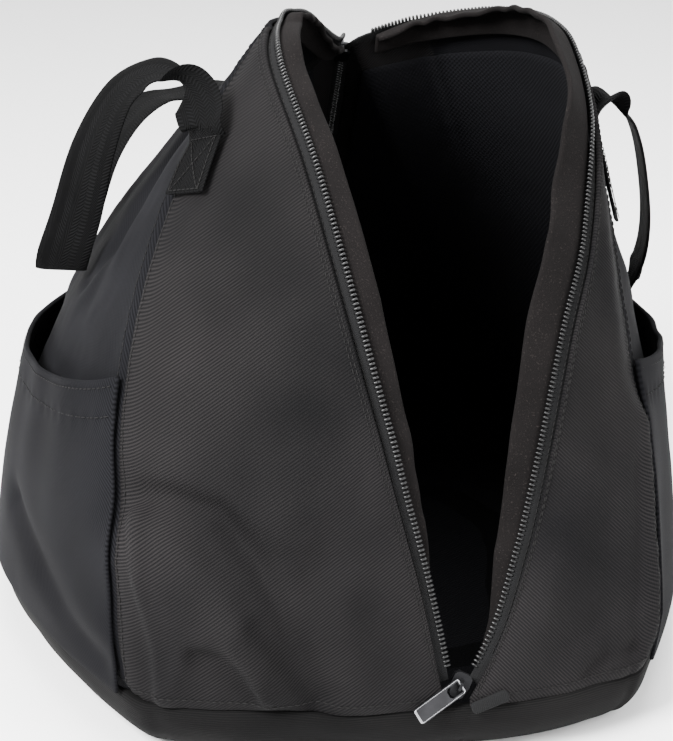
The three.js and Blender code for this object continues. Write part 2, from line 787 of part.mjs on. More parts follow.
// Pull: long plate with an eye round the bridge; the eye bar lies on the axis
function pullTab() {
  const eye = new THREE.Path();
  const b = eyeWidth / 2;
  eye.moveTo(eyeBar / 2, -b);
  eye.lineTo(eyeBar / 2, b);
  eye.lineTo(eyeBar / 2 + eyeLength - 1, b);
  eye.lineTo(eyeBar / 2 + eyeLength, b - 1);
  eye.lineTo(eyeBar / 2 + eyeLength, -b + 1);
  eye.lineTo(eyeBar / 2 + eyeLength - 1, -b);
  eye.closePath();
  const start = -eyeBar / 2;
  const middle = start + pullLength / 2;
  const hole = new THREE.Path(eye.getPoints().map((p) => new THREE.Vector2(p.x - middle, p.y)));
  const plate = roundedPlate(pullLength, pullWidth, pullThickness, 1.6, [hole]);
  plate.translate(middle, 0, -pullThickness / 2);
  return plate;
}

// Place a piece built round the origin on axes given in the bag
function place(geometry, origin, x, z) {
  const y = vec(0, 0, 0).crossVectors(z, x);
  return geometry.applyMatrix4(new THREE.Matrix4().makeBasis(x, y, z).setPosition(origin));
}

// Point between the two tapes, where their teeth meet
function chainMiddle(station) {
  const [a, b] = [left, right].map((half) => {
    const { edge, out, across } = zipFrame(half, station);
    edge.addScaledVector(across, chainReach(half, station));
    return edge.addScaledVector(out, tapeTop(station) - tapeThickness / 2);
  });
  return a.lerp(b, 0.5);
}

// Seat of a slider: a point on its outward face, the way to its open end, and out
function sliderSeat(station, way, yaw, shift) {
  const out = zipFrame(left, station).out.add(zipFrame(right, station).out);
  const x = way.clone().normalize();
  out.addScaledVector(x, -x.dot(out)).normalize();
  x.applyAxisAngle(out, THREE.MathUtils.degToRad(yaw));
  const origin = chainMiddle(station).addScaledVector(out, sliderHeight / 2);
  origin.addScaledVector(x, shift);
  return { origin, x, out };
}

// Axes of a pull resting on a slider, turned sideways by yaw and lifted off its face
function pullAxes(seat, yaw, lift) {
  const flat = seat.x.clone().negate().applyAxisAngle(seat.out, THREE.MathUtils.degToRad(yaw));
  const up = THREE.MathUtils.degToRad(lift);
  const x = flat.clone().multiplyScalar(Math.cos(up)).addScaledVector(seat.out, Math.sin(up));
  const z = seat.out.clone().multiplyScalar(Math.cos(up)).addScaledVector(flat, -Math.sin(up));
  const origin = seat.origin.clone().addScaledVector(seat.out, axisHeight);
  return { origin, x, z };
}

// Points on the front cloth round the foot of the zip
function footSpots() {
  const spots = [];
  for (const half of [left, right]) {
    for (let s = 0; s < 4; s += 0.1) {
      for (let v = 0; v < 0.4; v += 0.02) {
        spots.push(facet(half, s, v).p);
      }
    }
  }
  return spots;
}

// Smallest lift, from the given one up, at which a pull stands clear of the spots
function clearLift(seat, yaw, start, spots) {
  for (let lift = start; lift < 90; lift += 1) {
    const { origin, x, z } = pullAxes(seat, yaw, lift);
    const y = vec(0, 0, 0).crossVectors(z, x);
    const touches = spots.some((spot) => {
      const far = spot.clone().sub(origin);
      const within = far.dot(x) > 0 && far.dot(x) < pullLength;
      const beside = Math.abs(far.dot(y)) > pullWidth / 2 + pullClearance;
      return within && !beside && far.dot(z) > -pullThickness / 2 - pullClearance;
    });
    if (!touches) {
      return lift;
    }
  }
  return 90;
}

const group = new THREE.Group();
function add(name, geometry, look) {
  const mesh = new THREE.Mesh(geometry, new THREE.MeshStandardMaterial(look));
  mesh.name = name;
  group.add(mesh);
}

add("base_panel", baseDish(), cloth);
for (const [word, half, guards] of [["left", left, leftGuard], ["right", right, rightGuard]]) {
  add(`front_panel_${word}`, panel(half, 0, frontCorner), cloth);
  add(`side_panel_${word}`, panel(half, frontCorner, backCorner), cloth);
  add(`back_panel_${word}`, panel(half, backCorner, lastStation), cloth);
  add(`pocket_${word}`, pocket(half, 0.43, 0.03, 0.06), cloth);
  add(`lining_${word}`, lining(half), clothDark);
  add(`zip_tape_${word}`, tape(half), clothDark);
  add(`zip_guard_${word}`, guard(half, guards), cloth);
  const start = stationAt(half, frontShift + sliderLength / 2 + 3);
  add(`zip_teeth_${word}`, teeth(half, start, sliderStation - 0.4), plastic);
}
add("zip_teeth_back", backTeeth(sliderStation + 0.4, lastStation - 0.1), plastic);

const leftEnds = [
  flipRows(sewnEnd(left, [[6.5, 0.77], [6.5, 0.81], [6.5, 0.85]])),
  sewnEnd(left, [[10.667, 0.86], [10.667, 0.8], [10.667, 0.72]]),
];
const rightEnds = [
  flipRows(sewnEnd(right, [[7.667, 0.68], [7.667, 0.76], [7.667, 0.84]])),
  sewnEnd(right, [[10.333, 0.82], [10.333, 0.76], [10.333, 0.7]]),
];
add("handle_left", webbingStrap(leftLoop, leftEnds), webbing);
add("handle_right", webbingStrap(rightLoop, rightEnds), webbing);

const frontWay = left.edgeAlong(0).add(right.edgeAlong(0));
const frontSeat = sliderSeat(0, frontWay, frontSliderYaw, frontShift);
const rearWay = chainMiddle(sliderStation).sub(chainMiddle(sliderStation + 0.5));
const rearSeat = sliderSeat(sliderStation, rearWay, 0, -rearShift);
const frontLift = clearLift(frontSeat, frontPullYaw, frontPullLift, footSpots());
for (const [name, seat, yaw, lift] of [
  ["front", frontSeat, frontPullYaw, frontLift],
  ["rear", rearSeat, 0, rearPullLift],
]) {
  const body = place(fromManifold(sliderBody()), seat.origin, seat.x, seat.out);
  add(`${name}_slider`, body, gunmetal);
  const { origin, x, z } = pullAxes(seat, yaw, lift);
  add(`${name}_pull`, place(pullTab(), origin, x, z), gunmetal);
}

// Folded tab that closes the front end of the zip, lying over the base seam
const tabSpot = facet(right, endTabStation, endTabShare);
const tabWay = facet(right, endTabStation + 0.3, endTabShare).p.sub(tabSpot.p);
tabWay.addScaledVector(tabSpot.n, -tabWay.dot(tabSpot.n)).normalize();
tabWay.applyAxisAngle(tabSpot.n, THREE.MathUtils.degToRad(endTabTurn));
const endTab = roundedPlate(endTabLength, endTabWidth, endTabThickness, 1.8, []);
tabSpot.p.addScaledVector(tabSpot.n, sewnGap + 0.2);
add("zip_end_tab", place(endTab, tabSpot.p, tabWay, tabSpot.n), clothDark);

export default group;
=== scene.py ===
import json
import math

import bmesh
import bpy
import numpy as np
from mathutils import Matrix, Vector, noise


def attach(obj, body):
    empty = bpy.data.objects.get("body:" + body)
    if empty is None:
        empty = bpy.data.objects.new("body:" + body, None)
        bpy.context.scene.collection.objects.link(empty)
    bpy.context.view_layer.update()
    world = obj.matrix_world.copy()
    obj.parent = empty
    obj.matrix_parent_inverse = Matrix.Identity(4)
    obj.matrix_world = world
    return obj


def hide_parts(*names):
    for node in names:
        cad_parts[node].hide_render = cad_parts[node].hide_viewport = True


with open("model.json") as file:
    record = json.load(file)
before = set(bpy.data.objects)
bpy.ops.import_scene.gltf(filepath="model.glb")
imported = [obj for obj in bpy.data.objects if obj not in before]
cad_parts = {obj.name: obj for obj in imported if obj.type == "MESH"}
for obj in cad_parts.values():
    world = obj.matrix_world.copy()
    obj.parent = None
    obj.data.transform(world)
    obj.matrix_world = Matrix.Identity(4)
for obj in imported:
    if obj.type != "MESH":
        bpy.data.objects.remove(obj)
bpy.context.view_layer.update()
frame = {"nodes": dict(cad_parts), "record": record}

# Soft helmet carry bag. Lengths in the tables and shape functions are in
# millimetres; meshes are built in metres.
WIDTH, DEPTH, HEIGHT = 352, 356, 296
SEAM_Z, WALL, BASE_WALL, BASE_FLOOR, REST_INSET = 28, 2.4, 5.5, 7, 26
SETBACK, TOOTH_WIDTH, TAPE_THICK, TAPE_DEPTH, TOOTH_HEIGHT = 6, 2.35, 1.2, 3.1, 2.2
FRONT_CORNER, BACK_CORNER, SLIDER_ROW, LAST = 7, 11, 12, 17
WEB_WIDTH, WEB_THICK, STRAP_LIFT = 24, 1.8, 1.6

# One row per station round a half, from front centre to back centre: base x, y,
# zip line x, y, z, low and high bulge, in percent of the half width or depth
# and of the height. Fold tables: start and end (station, height share), half
# width, depth. Guards: station, width, tilt. Loops: place, then direction across.
LEFT_ROWS = [
    [8.5, -103.4, 11.9, -102.3, 10.8, 0.0, 0.0], [-3.4, -103.4, 7.4, -96.6, 25.3, 1.1, 0.0],
    [-16.5, -102.2, 3.4, -92.7, 35.5, 2.8, 0.0], [-28.4, -100.6, -1.7, -87.6, 48.0, 5.1, 0.0],
    [-39.8, -98.3, -9.1, -75.3, 65.9, 9.1, 2.3], [-50.0, -95.5, -16.0, -53.5, 83.5, 14.0, 8.0],
    [-59.7, -91.6, -21.5, -26.5, 95.5, 21.0, 24.0], [-68.2, -84.3, -19.5, -6.5, 99.2, 27.0, 36.0],
    [-85.8, -47.8, -14.5, 4.5, 99.5, 25.0, 36.0], [-98.3, -2.8, -9.2, 14.6, 98.0, 24.0, 32.0],
    [-94.3, 42.1, -3.1, 27.5, 94.3, 24.0, 30.7], [-73.9, 76.4, 2.8, 38.2, 91.2, 22.0, 26.1],
    [-62.5, 84.3, 6.8, 50.0, 89.6, 18.2, 13.6], [-52.3, 88.2, 6.8, 63.5, 79.7, 12.5, 5.7],
    [-40.9, 91.6, 5.7, 77.0, 66.2, 8.0, 1.7], [-28.4, 93.8, 4.0, 88.2, 48.0, 5.1, 0.0],
    [-13.6, 96.1, 2.8, 94.9, 25.3, 1.1, 0.0], [1.7, 96.6, 1.7, 97.8, 13.5, 0.0, 0.0],
]
RIGHT_ROWS = [
    [15.3, -103.4, 11.9, -102.3, 10.8, 0.0, 0.0], [18.8, -103.4, 20.5, -95.5, 18.2, 1.1, 0.0],
    [26.7, -102.8, 28.4, -88.2, 28.4, 2.3, 0.0], [34.7, -101.7, 36.4, -78.7, 41.6, 4.0, 0.0],
    [42.6, -100.0, 46.0, -63.5, 57.8, 5.1, 0.0], [50.0, -97.2, 54.5, -49.4, 68.9, 6.2, 0.0],
    [57.4, -93.8, 61.4, -30.3, 82.8, 8.5, 1.1], [64.2, -87.1, 63.6, -5.6, 92.2, 10.2, 2.3],
    [83.0, -46.1, 61.9, 12.9, 95.3, 10.2, 2.8], [94.3, -1.1, 56.8, 29.8, 95.6, 10.2, 3.4],
    [90.9, 42.1, 47.2, 43.8, 94.6, 11.4, 4.5], [71.6, 77.5, 30.1, 52.8, 92.6, 11.4, 4.5],
    [62.5, 84.3, 6.8, 50.0, 89.6, 11.4, 3.4], [52.3, 88.2, 6.8, 63.5, 79.7, 9.1, 2.3],
    [40.9, 91.6, 5.7, 77.0, 66.2, 6.8, 1.1], [28.4, 93.8, 4.0, 88.2, 48.0, 4.0, 0.0],
    [14.8, 96.1, 2.8, 94.9, 25.3, 0.6, 0.0], [1.7, 96.6, 1.7, 97.8, 13.5, 0.0, 0.0],
]
LEFT_FOLDS = [
    [6.6, 0.33, 3.6, 0.44, 17, -5.0], [6.5, 0.24, 3.6, 0.06, 15, 4.5],
    [5.0, 0.12, 3.9, 0.05, 10, -3.5], [8.6, 0.16, 7.2, 0.03, 9, -4.0],
    [8.3, 0.02, 7.2, 0.10, 12, 2.5], [7.0, 0.02, 7.0, 0.86, 5, 1.2], [7.9, 0.88, 8.2, 0.55, 9, -2.0],
]
RIGHT_FOLDS = [
    [6.9, 0.06, 6.9, 0.40, 16, 4.0], [3.2, 0.20, 5.6, 0.12, 13, -2.0],
    [7.0, 0.02, 7.0, 0.86, 5, 1.0], [8.5, 0.25, 9.8, 0.20, 16, -3.0],
]
LEFT_GUARD = [
    [0.6, 3.5, 10], [2, 10, 15], [4, 15, 25], [6, 14, 35], [8, 12, 60], [10, 9, 80], [11.4, 5, 85],
]
RIGHT_GUARD = [
    [0.6, 4, 10], [2, 13, 15], [4, 20, 20], [6, 22, 25], [8, 21, 55], [10, 18, 80], [11.7, 8, 80],
]
LEFT_LOOP = [
    [-41.2, -31.5, 86.4, 0.68, -0.73, -0.10], [-42.6, -26.4, 89.8, 0.60, -0.76, -0.25],
    [-46.5, -21.3, 91.7, 0.50, -0.84, -0.20], [-53.0, -16.3, 91.8, 0.30, -0.95, -0.10],
    [-61.2, -11.2, 87.7, 0.51, -0.86, 0.00], [-68.1, -7.9, 79.2, 0.77, -0.62, 0.15],
    [-73.3, -6.2, 68.6, 0.94, -0.35, 0.00], [-77.2, -5.6, 62.1, 0.97, -0.25, 0.00],
    [-77.9, -3.4, 59.5, 0.97, -0.25, 0.00], [-76.6, -0.6, 61.2, 0.95, -0.30, 0.00],
    [-72.7, 4.5, 67.3, 0.91, -0.41, 0.00], [-66.5, 13.5, 74.4, 0.71, -0.71, 0.00],
    [-58.7, 23.6, 79.2, 0.51, -0.86, 0.00], [-50.0, 33.7, 81.4, 0.35, -0.94, 0.00],
    [-41.3, 41.6, 81.3, 0.30, -0.95, 0.00], [-29.5, 46.6, 82.1, 0.10, -0.99, 0.10],
]
RIGHT_LOOP = [
    [71.8, 0.6, 82.9, 0.10, 0.99, -0.05], [74.2, 3.9, 82.9, 0.08, 1.00, 0.00],
    [77.5, 6.7, 81.2, 0.08, 1.00, 0.00], [81.7, 8.4, 78.6, 0.10, 0.99, 0.00],
    [84.9, 10.1, 74.2, 0.10, 0.99, 0.00], [87.7, 12.4, 67.7, 0.10, 0.99, 0.00],
    [89.6, 14.6, 61.1, 0.10, 0.99, 0.00], [89.9, 16.9, 55.3, 0.10, 0.99, 0.00],
    [88.7, 20.2, 50.5, 0.10, 0.99, 0.00], [86.9, 24.7, 48.3, 0.10, 0.99, 0.00],
    [83.0, 32.6, 53.4, 0.15, 0.99, 0.00], [80.1, 37.1, 61.5, 0.10, 0.99, 0.00],
    [75.6, 41.0, 70.3, 0.00, 1.00, 0.00], [69.3, 44.9, 77.4, -0.10, 0.99, 0.00],
    [62.5, 48.9, 80.7, -0.30, 0.95, 0.00], [57.6, 52.0, 80.6, -0.51, 0.86, 0.00],
]

# Finer folds: polylines of (station, height share), half width and depth in mm
LEFT_CREASES = [
    ([(6.48, .33), (5.78, .35), (5.13, .37), (4.32, .34), (3.52, .27), (2.46, .08)], 6, -2.2),
    ([(6.53, .29), (5.58, .27), (4.77, .24), (3.87, .15), (3.67, .06)], 8, 2.0),
    ([(5.23, .11), (4.67, .11), (4.22, .09), (3.87, .05)], 4, -1.6),
    ([(4.47, .16), (4.12, .14), (3.82, .11), (3.57, .06)], 4, 1.2),
    ([(4.02, .23), (3.47, .19), (3.12, .15), (2.61, .04)], 5, -1.5),
    ([(5.78, 0), (5.63, .05), (5.38, .11), (4.97, .15), (4.37, .20)], 5, 1.4),
    ([(6.58, .3), (6.38, .2), (6.03, .1), (5.98, .01)], 3.5, 1.5),
    ([(6.8, .29), (6.66, .2), (6.4, .1), (6.3, .01)], 6, -1.2),
    ([(2.71, .48), (2.36, .33), (1.41, .05)], 9, 1.2),
    ([(5.83, .38), (4.72, .42), (3.72, .47)], 10, 1.4),
    ([(8.49, .15), (7.89, .11), (7.69, .08), (7.34, .03), (6.83, 0)], 5, -1.5),
    ([(8.09, .3), (7.69, .22), (7.3, .17)], 8, 1.4),
    ([(7.9, .88), (8.1, .75), (8.3, .62), (8.6, .55)], 6, -1.6),
    ([(9.0, .8), (9.3, .65), (9.5, .5)], 9, 1.5),
    ([(12.6, .7), (13.2, .45), (14.0, .2)], 9, -1.5),
    ([(11.6, .3), (12.6, .2), (14.2, .14)], 10, 1.6),
]
RIGHT_CREASES = [
    ([(6.9, .06), (6.9, .2), (6.85, .4)], 7, 1.4),
    ([(6.4, .05), (6.3, .2), (6.35, .36)], 6, -1.0),
    ([(4.4, .04), (5.2, .06), (6.2, .05)], 4, -1.1),
    ([(4.0, .09), (5.0, .12), (6.3, .1)], 5, 0.9),
    ([(2.2, .3), (3.2, .42), (4.4, .55)], 10, 0.9),
    ([(8.5, .3), (9.2, .24), (10.0, .2)], 8, -1.3),
    ([(7.6, .6), (8.4, .5), (9.4, .46)], 10, 1.2),
    ([(12.6, .6), (13.4, .4), (14.4, .25)], 9, -1.5),
    ([(11.8, .25), (12.8, .16), (14.0, .12)], 10, 1.5),
]


def unit(v):
    return v / np.maximum(np.linalg.norm(v, axis=-1, keepdims=True), 1e-9)


def vary(rows, place, corner=-1):
    """Smooth value of a table at places counted in rows; it may turn sharply at one row."""
    n = len(rows)
    t = np.clip(np.asarray(place, float), 0, n - 1)
    i = np.minimum(np.floor(t).astype(int), n - 2)
    f = (t - i)[..., None]
    a = rows[np.where(i == corner, i, np.maximum(i - 1, 0))]
    b, c = rows[i], rows[i + 1]
    d = rows[np.where(i + 1 == corner, i + 1, np.minimum(i + 2, n - 1))]
    square, cube = 2 * a - 5 * b + 4 * c - d, 3 * b - a - 3 * c + d
    return 0.5 * (2 * b + (c - a) * f + square * f * f + cube * f**3)


def level_out(x, y, share):
    return unit(np.stack([x / WIDTH, y * share / DEPTH, x * 0], axis=-1))


def line_share(p, a, b, width):
    """How near points are to a line from a to b: 1 on it, falling off over its width."""
    line = b - a
    k = np.clip((p - a) @ line / (line @ line), 0, 1)[..., None]
    return np.exp(-((np.linalg.norm(p - a - k * line, axis=-1) / width) ** 2))


class Half:
    """One half of the bag: side is -1 for left and 1 for right."""

    def __init__(self, side, table, folds, creases):
        self.side, self.folds = side, []
        scale = [WIDTH / 200, DEPTH / 200, WIDTH / 200, DEPTH / 200, HEIGHT / 100, WIDTH / 200, WIDTH / 200]
        self.rows = np.array(table, float) * scale
        self.zip_line = self.rows[:, 2:5].copy()
        k = np.arange(len(table), dtype=float)
        across = np.cross(self.edge_along(k), self.edge_out(k))
        across[[0, -1]] = (1, 0, 0)
        self.rows[:, 2:5] = self.zip_line + unit(across * side) * SETBACK
        for ta, va, tb, vb, width, depth in folds:
            self.folds.append((self.raw(ta, va), self.raw(tb, vb), width, depth))
        self.creases = []
        for path, width, depth in creases:
            points = [self.smooth(s, v) for s, v in path]
            self.creases.append((points, width, depth))

    def raw(self, s, v):
        row, far = vary(self.rows, s), vary(self.rows, s, SLIDER_ROW)
        v = np.asarray(v, float)[..., None]
        low = np.concatenate([row[..., :2], np.full(row.shape[:-1] + (1,), float(SEAM_Z))], axis=-1)
        p = low * (1 - v) + far[..., 2:5] * v
        p = p + level_out(row[..., 0], row[..., 1], 1) * 3 * v * (1 - v) ** 2 * row[..., 5:6]
        return p + level_out(row[..., 0], row[..., 1], 0.35) * 3 * v * v * (1 - v) * row[..., 6:7]

    def edge_along(self, s):
        s = np.asarray(s, float)
        shut = s >= SLIDER_ROW
        low = np.clip(s - 0.05, np.where(shut, SLIDER_ROW, 0), LAST)
        high = np.clip(s + 0.05, 0, np.where(shut, LAST, SLIDER_ROW))
        one = np.ones_like(s)
        return unit(self.raw(high, one) - self.raw(low, one))

    def edge_out(self, s):
        s = np.clip(np.asarray(s, float), 1, LAST - 1)
        up = self.raw(s, np.ones_like(s)) - self.raw(s, np.full_like(s, 0.9))
        return unit(np.cross(up, self.edge_along(s)) * -self.side)

    def smooth(self, s, v):
        s, v = np.broadcast_arrays(np.asarray(s, float), np.asarray(v, float))
        p = self.raw(s, v)
        row = vary(self.rows, s)
        push = sum(depth * line_share(p, a, b, width) for a, b, width, depth in self.folds)
        push = push * np.minimum(1, 12 * v) * np.minimum(1, 6 * (1 - v))
        return p + level_out(row[..., 0], row[..., 1], 1) * push[..., None]

    def normal(self, s, v):
        s, v = np.broadcast_arrays(np.asarray(s, float), np.asarray(v, float))
        a, h = np.clip(s, 0.02, LAST - 0.02), np.clip(v, 0.02, 0.98)
        du = self.smooth(a + 0.02, h) - self.smooth(a - 0.02, h)
        dv = self.smooth(a, h + 0.02) - self.smooth(a, h - 0.02)
        n = unit(np.cross(dv, du) * -self.side)
        near = (np.clip((v - 0.8) / 0.2, 0, 1) ** 2)[..., None]
        return unit(n * (1 - near) + self.edge_out(s) * near)

    def edge(self, s):
        return self.raw(s, np.ones_like(np.asarray(s, float)))

    def surface(self, s, v):
        """Cloth with its fine folds, seam dips, puckers and relief, and the way out."""
        s, v = np.broadcast_arrays(np.asarray(s, float), np.asarray(v, float))
        p, n = self.smooth(s, v), self.normal(s, v)
        push = np.zeros(s.shape)
        for points, width, depth in self.creases:
            share = [line_share(p, a, b, width) for a, b in zip(points, points[1:])]
            push += 1.6 * depth * np.max(share, axis=0)
        flat = p.reshape(-1, 3)
        fine = [noise.noise(Vector(q) / 24) + 0.35 * noise.noise(Vector(q) / 8) for q in flat]
        push += 0.75 * np.array(fine).reshape(s.shape)
        push *= np.minimum(1, 8 * (1 - v))
        for far, place in (
            (np.linalg.norm(p - self.smooth(FRONT_CORNER, v), axis=-1), p[..., 2]),
            (np.linalg.norm(p - self.smooth(BACK_CORNER, v), axis=-1), p[..., 2]),
            (np.linalg.norm(p - self.smooth(s, 0 * v), axis=-1), p[..., 0] + p[..., 1]),
        ):
            pucker = np.sin(place / 9 * math.tau + 1.7 * np.sin(place / 23))
            push += 0.12 * pucker * np.exp(-(((far - 5) / 4.5) ** 2))
            push += 0.4 * np.exp(-(((far - 5) / 3.5) ** 2)) - 1.2 * np.exp(-((far / 1.9) ** 2))
        p = p + n * push[..., None]
        p[..., 2] += seam_wave(self, s) * np.clip(1 - 8 * v, 0, 1)
        return p, n


def seam_wave(half, s):
    """Height by which the base seam strays from level."""
    if half.side > 0:
        return 0.7 * np.exp(-(((s - 4.6) / 0.8) ** 2)) - 0.5 * np.exp(-(((s - 6) / 0.5) ** 2))
    return (1.6 * np.exp(-(((s - 3.5) / 0.8) ** 2)) - 1.6 * np.exp(-(((s - 1.95) / 0.45) ** 2))
            - 0.8 * np.exp(-(((s - 6.4) / 0.4) ** 2)))


left = Half(-1, LEFT_ROWS, LEFT_FOLDS, LEFT_CREASES)
right = Half(1, RIGHT_ROWS, RIGHT_FOLDS, RIGHT_CREASES)
HALVES = (("left", left), ("right", right))


def joined(s):
    return np.clip((s - SLIDER_ROW + 0.8) / 0.8, 0, 1)


def zip_frame(half, s):
    """Cloth edge, way out, way across to the teeth and way along, at stations."""
    shared = unit(left.edge_out(s) + right.edge_out(s))
    k = joined(s)[..., None]
    out = unit(half.edge_out(s) * (1 - k) + shared * k)
    ahead = half.edge_along(s)
    return half.edge(s), out, unit(np.cross(ahead, out) * -half.side), ahead


def chain_reach(half, s):
    across = zip_frame(half, s)[2]
    shut = np.sum(((left.edge(s) + right.edge(s)) / 2 - half.edge(s)) * across, axis=-1)
    return np.where(s < SLIDER_ROW, SETBACK, shut)


def tape_top(s):
    k = np.clip((s - SLIDER_ROW) / 0.5, 0, 1)
    return -(TAPE_DEPTH * (1 - k) + 0.6 * k)


def station_at(half, distance):
    s = np.arange(0, LAST, 0.01)
    far = np.linalg.norm(vary(half.zip_line, s, SLIDER_ROW) - half.zip_line[0], axis=-1)
    return float(s[np.argmax(far >= distance)])


# Meshes

def linear(code):
    """Linear colour from an sRGB hex code."""
    parts = [int(code[i:i + 2], 16) / 255 for i in (1, 3, 5)]
    return [c / 12.92 if c <= 0.04045 else ((c + 0.055) / 1.055) ** 2.4 for c in parts] + [1]


def build(name, points, faces, uv, materials, replaced=(), body="bag", second=None):
    """A mesh object on a body, standing for CAD nodes; points in mm, uv in m."""
    points = np.asarray(points, float)
    volume = 0.0
    for f in faces:
        a, b, c = points[f[0]], points[f[1]], points[f[2]]
        volume += a @ np.cross(b, c)
        if len(f) == 4:
            volume += a @ np.cross(c, points[f[3]])
    if volume < 0:
        faces = [f[::-1] for f in faces]
    mesh = bpy.data.meshes.new(name)
    mesh.from_pydata((points / 1000).tolist(), [], faces)
    mesh.polygons.foreach_set("use_smooth", [True] * len(faces))
    layer = mesh.uv_layers.new(name="weave")
    loops = np.empty(len(mesh.loops), int)
    mesh.loops.foreach_get("vertex_index", loops)
    layer.data.foreach_set("uv", np.asarray(uv, float)[loops].ravel())
    for material in materials:
        mesh.materials.append(material)
    if second is not None:
        mesh.polygons.foreach_set("material_index", second)
    mesh.update()
    obj = bpy.data.objects.new(name, mesh)
    bpy.context.scene.collection.objects.link(obj)
    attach(obj, body)
    if replaced:
        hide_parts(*replaced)
    return obj


def sheet_mesh(name, outer, inner, uv, materials, replaced=(), bulge=0.4, steps=3):
    """Closed sheet between two grids of points, with a rounded rim."""
    n, m = outer.shape[:2]
    loop = [(i, 0) for i in range(n)] + [(n - 1, j) for j in range(1, m)]
    loop += [(i, m - 1) for i in range(n - 2, -1, -1)] + [(0, j) for j in range(m - 2, 0, -1)]
    li, lj = np.array(loop).T
    ci, cj = np.clip(li, 1, n - 2), np.clip(lj, 1, m - 2)
    o, q = outer[li, lj], inner[li, lj]
    half = (o - q) / 2
    thick = np.linalg.norm(half, axis=-1, keepdims=True)
    way = unit(o - outer[ci, cj]) + unit(q - inner[ci, cj])
    way = unit(way - half * np.sum(way * half, axis=-1, keepdims=True) / np.maximum(thick**2, 1e-9))
    rings = []
    for k in range(1, steps + 1):
        turn = math.pi * k / (steps + 1)
        rings.append((o + q) / 2 + half * math.cos(turn) + way * thick * bulge * math.sin(turn))
    points = np.concatenate([outer.reshape(-1, 3), inner.reshape(-1, 3)] + rings)
    flat_uv = uv.reshape(-1, 2)
    loop_uv = flat_uv[li * m + lj]
    all_uv = np.concatenate([flat_uv, flat_uv] + [loop_uv] * steps)
    faces = []
    back = n * m
    for i in range(n - 1):
        for j in range(m - 1):
            a = i * m + j
            faces.append((a, a + m, a + m + 1, a + 1))
            faces.append((back + a, back + a + 1, back + a + m + 1, back + a + m))
    count = len(loop)
    lines = [li * m + lj] + [2 * back + k * count + np.arange(count) for k in range(steps)]
    lines.append(back + li * m + lj)
    for low, high in zip(lines, lines[1:]):
        for k in range(count):
            e = (k + 1) % count
            faces.append((int(low[k]), int(high[k]), int(high[e]), int(low[e])))
    # the rim runs the same way round as the outer face's border
    return build(name, points, faces, all_uv, materials, replaced)


def length_down(points, axis):
    """Running length of a grid's lines along an axis, in metres."""
    step = np.linalg.norm(np.diff(points, axis=axis), axis=-1)
    zero = np.zeros_like(np.take(step, [0], axis=axis))
    return np.concatenate([zero, np.cumsum(step, axis=axis)], axis=axis) / 1000


def turned(u, v, angle):
    c, s = math.cos(math.radians(angle)), math.sin(math.radians(angle))
    return np.stack([u * c + v * s, v * c - u * s], axis=-1)


# Materials

def add(tree, kind, links=None, **settings):
    """A node with its settings; links gives a value or another node's socket per input."""
    n = tree.nodes.new(kind)
    for key, value in settings.items():
        setattr(n, key, value)
    for key, value in (links or {}).items():
        if isinstance(value, bpy.types.NodeSocket):
            tree.links.new(value, n.inputs[key])
        else:
            n.inputs[key].default_value = value
    return n


def maths(tree, operation, a, b=0.0, c=0.0):
    return add(tree, "ShaderNodeMath", {0: a, 1: b, 2: c}, operation=operation).outputs[0]


def finish(name, colour, rough, height=None, deep=0.0001, **constant):
    """Material from a function that returns its colour and height sockets."""
    material = bpy.data.materials.new(name)
    material.use_nodes = True
    tree = material.node_tree
    tree.nodes.clear()
    shade, high = colour(tree)
    shader = add(tree, "ShaderNodeBsdfPrincipled", {"Base Color": shade, "Roughness": rough})
    for key, value in constant.items():
        shader.inputs[key.replace("_", " ")].default_value = value
    if high is not None:
        bump = add(tree, "ShaderNodeBump", {"Strength": 1.0, "Distance": deep, "Height": high})
        tree.links.new(bump.outputs[0], shader.inputs["Normal"])
    out = add(tree, "ShaderNodeOutputMaterial")
    tree.links.new(shader.outputs[0], out.inputs[0])
    return material


def mixed(tree, share, a, b):
    n = add(tree, "ShaderNodeMix", {0: share}, data_type="RGBA")
    for socket, value in ((n.inputs[6], a), (n.inputs[7], b)):
        if isinstance(value, bpy.types.NodeSocket):
            tree.links.new(value, socket)
        else:
            socket.default_value = value
    return n.outputs[2]


def cloud(tree, scale, detail=2.0):
    place = add(tree, "ShaderNodeTexCoord").outputs["Object"]
    return add(tree, "ShaderNodeTexNoise", {"Vector": place, "Scale": scale, "Detail": detail}).outputs[0]


def woven(dark, light, pitch, contrast, yarn=0.0008, dust=0.06):
    """Diagonal ribs of a twill: raised lines lightened with painted sheen, broken into yarns, over dark grooves."""
    def colour(tree):
        place = add(tree, "ShaderNodeUVMap", uv_map="weave").outputs[0]
        u, v = add(tree, "ShaderNodeSeparateXYZ", {0: place}).outputs[:2]
        wander = maths(tree, "MULTIPLY", cloud(tree, 30, 1), pitch * 0.25)
        rib = maths(tree, "SINE", maths(tree, "MULTIPLY", maths(tree, "ADD", v, wander), math.tau / pitch))
        slant = maths(tree, "ADD", u, maths(tree, "MULTIPLY", v, 0.8))
        tick = maths(tree, "SINE", maths(tree, "MULTIPLY", slant, math.tau / yarn))
        high = maths(tree, "MULTIPLY_ADD", tick, 0.12, maths(tree, "MULTIPLY_ADD", rib, 0.38, 0.5))
        patch = maths(tree, "MULTIPLY_ADD", cloud(tree, 14, 2), 1.6, -0.3)
        sheen_share = maths(tree, "MULTIPLY", maths(tree, "MULTIPLY", high, contrast), patch)
        base = mixed(tree, cloud(tree, 6, 1), linear(dark), linear(COOL[dark]))
        # painted sheen: the raised ribs mixed towards the light colour, stronger in patches
        painted_rib_sheen = mixed(tree, sheen_share, base, linear(light))
        speck = add(tree, "ShaderNodeMapRange", {0: cloud(tree, 900, 1), 1: 0.66, 2: 0.8, 4: dust})
        return mixed(tree, speck.outputs[0], painted_rib_sheen, linear("#35322f")), high
    return colour


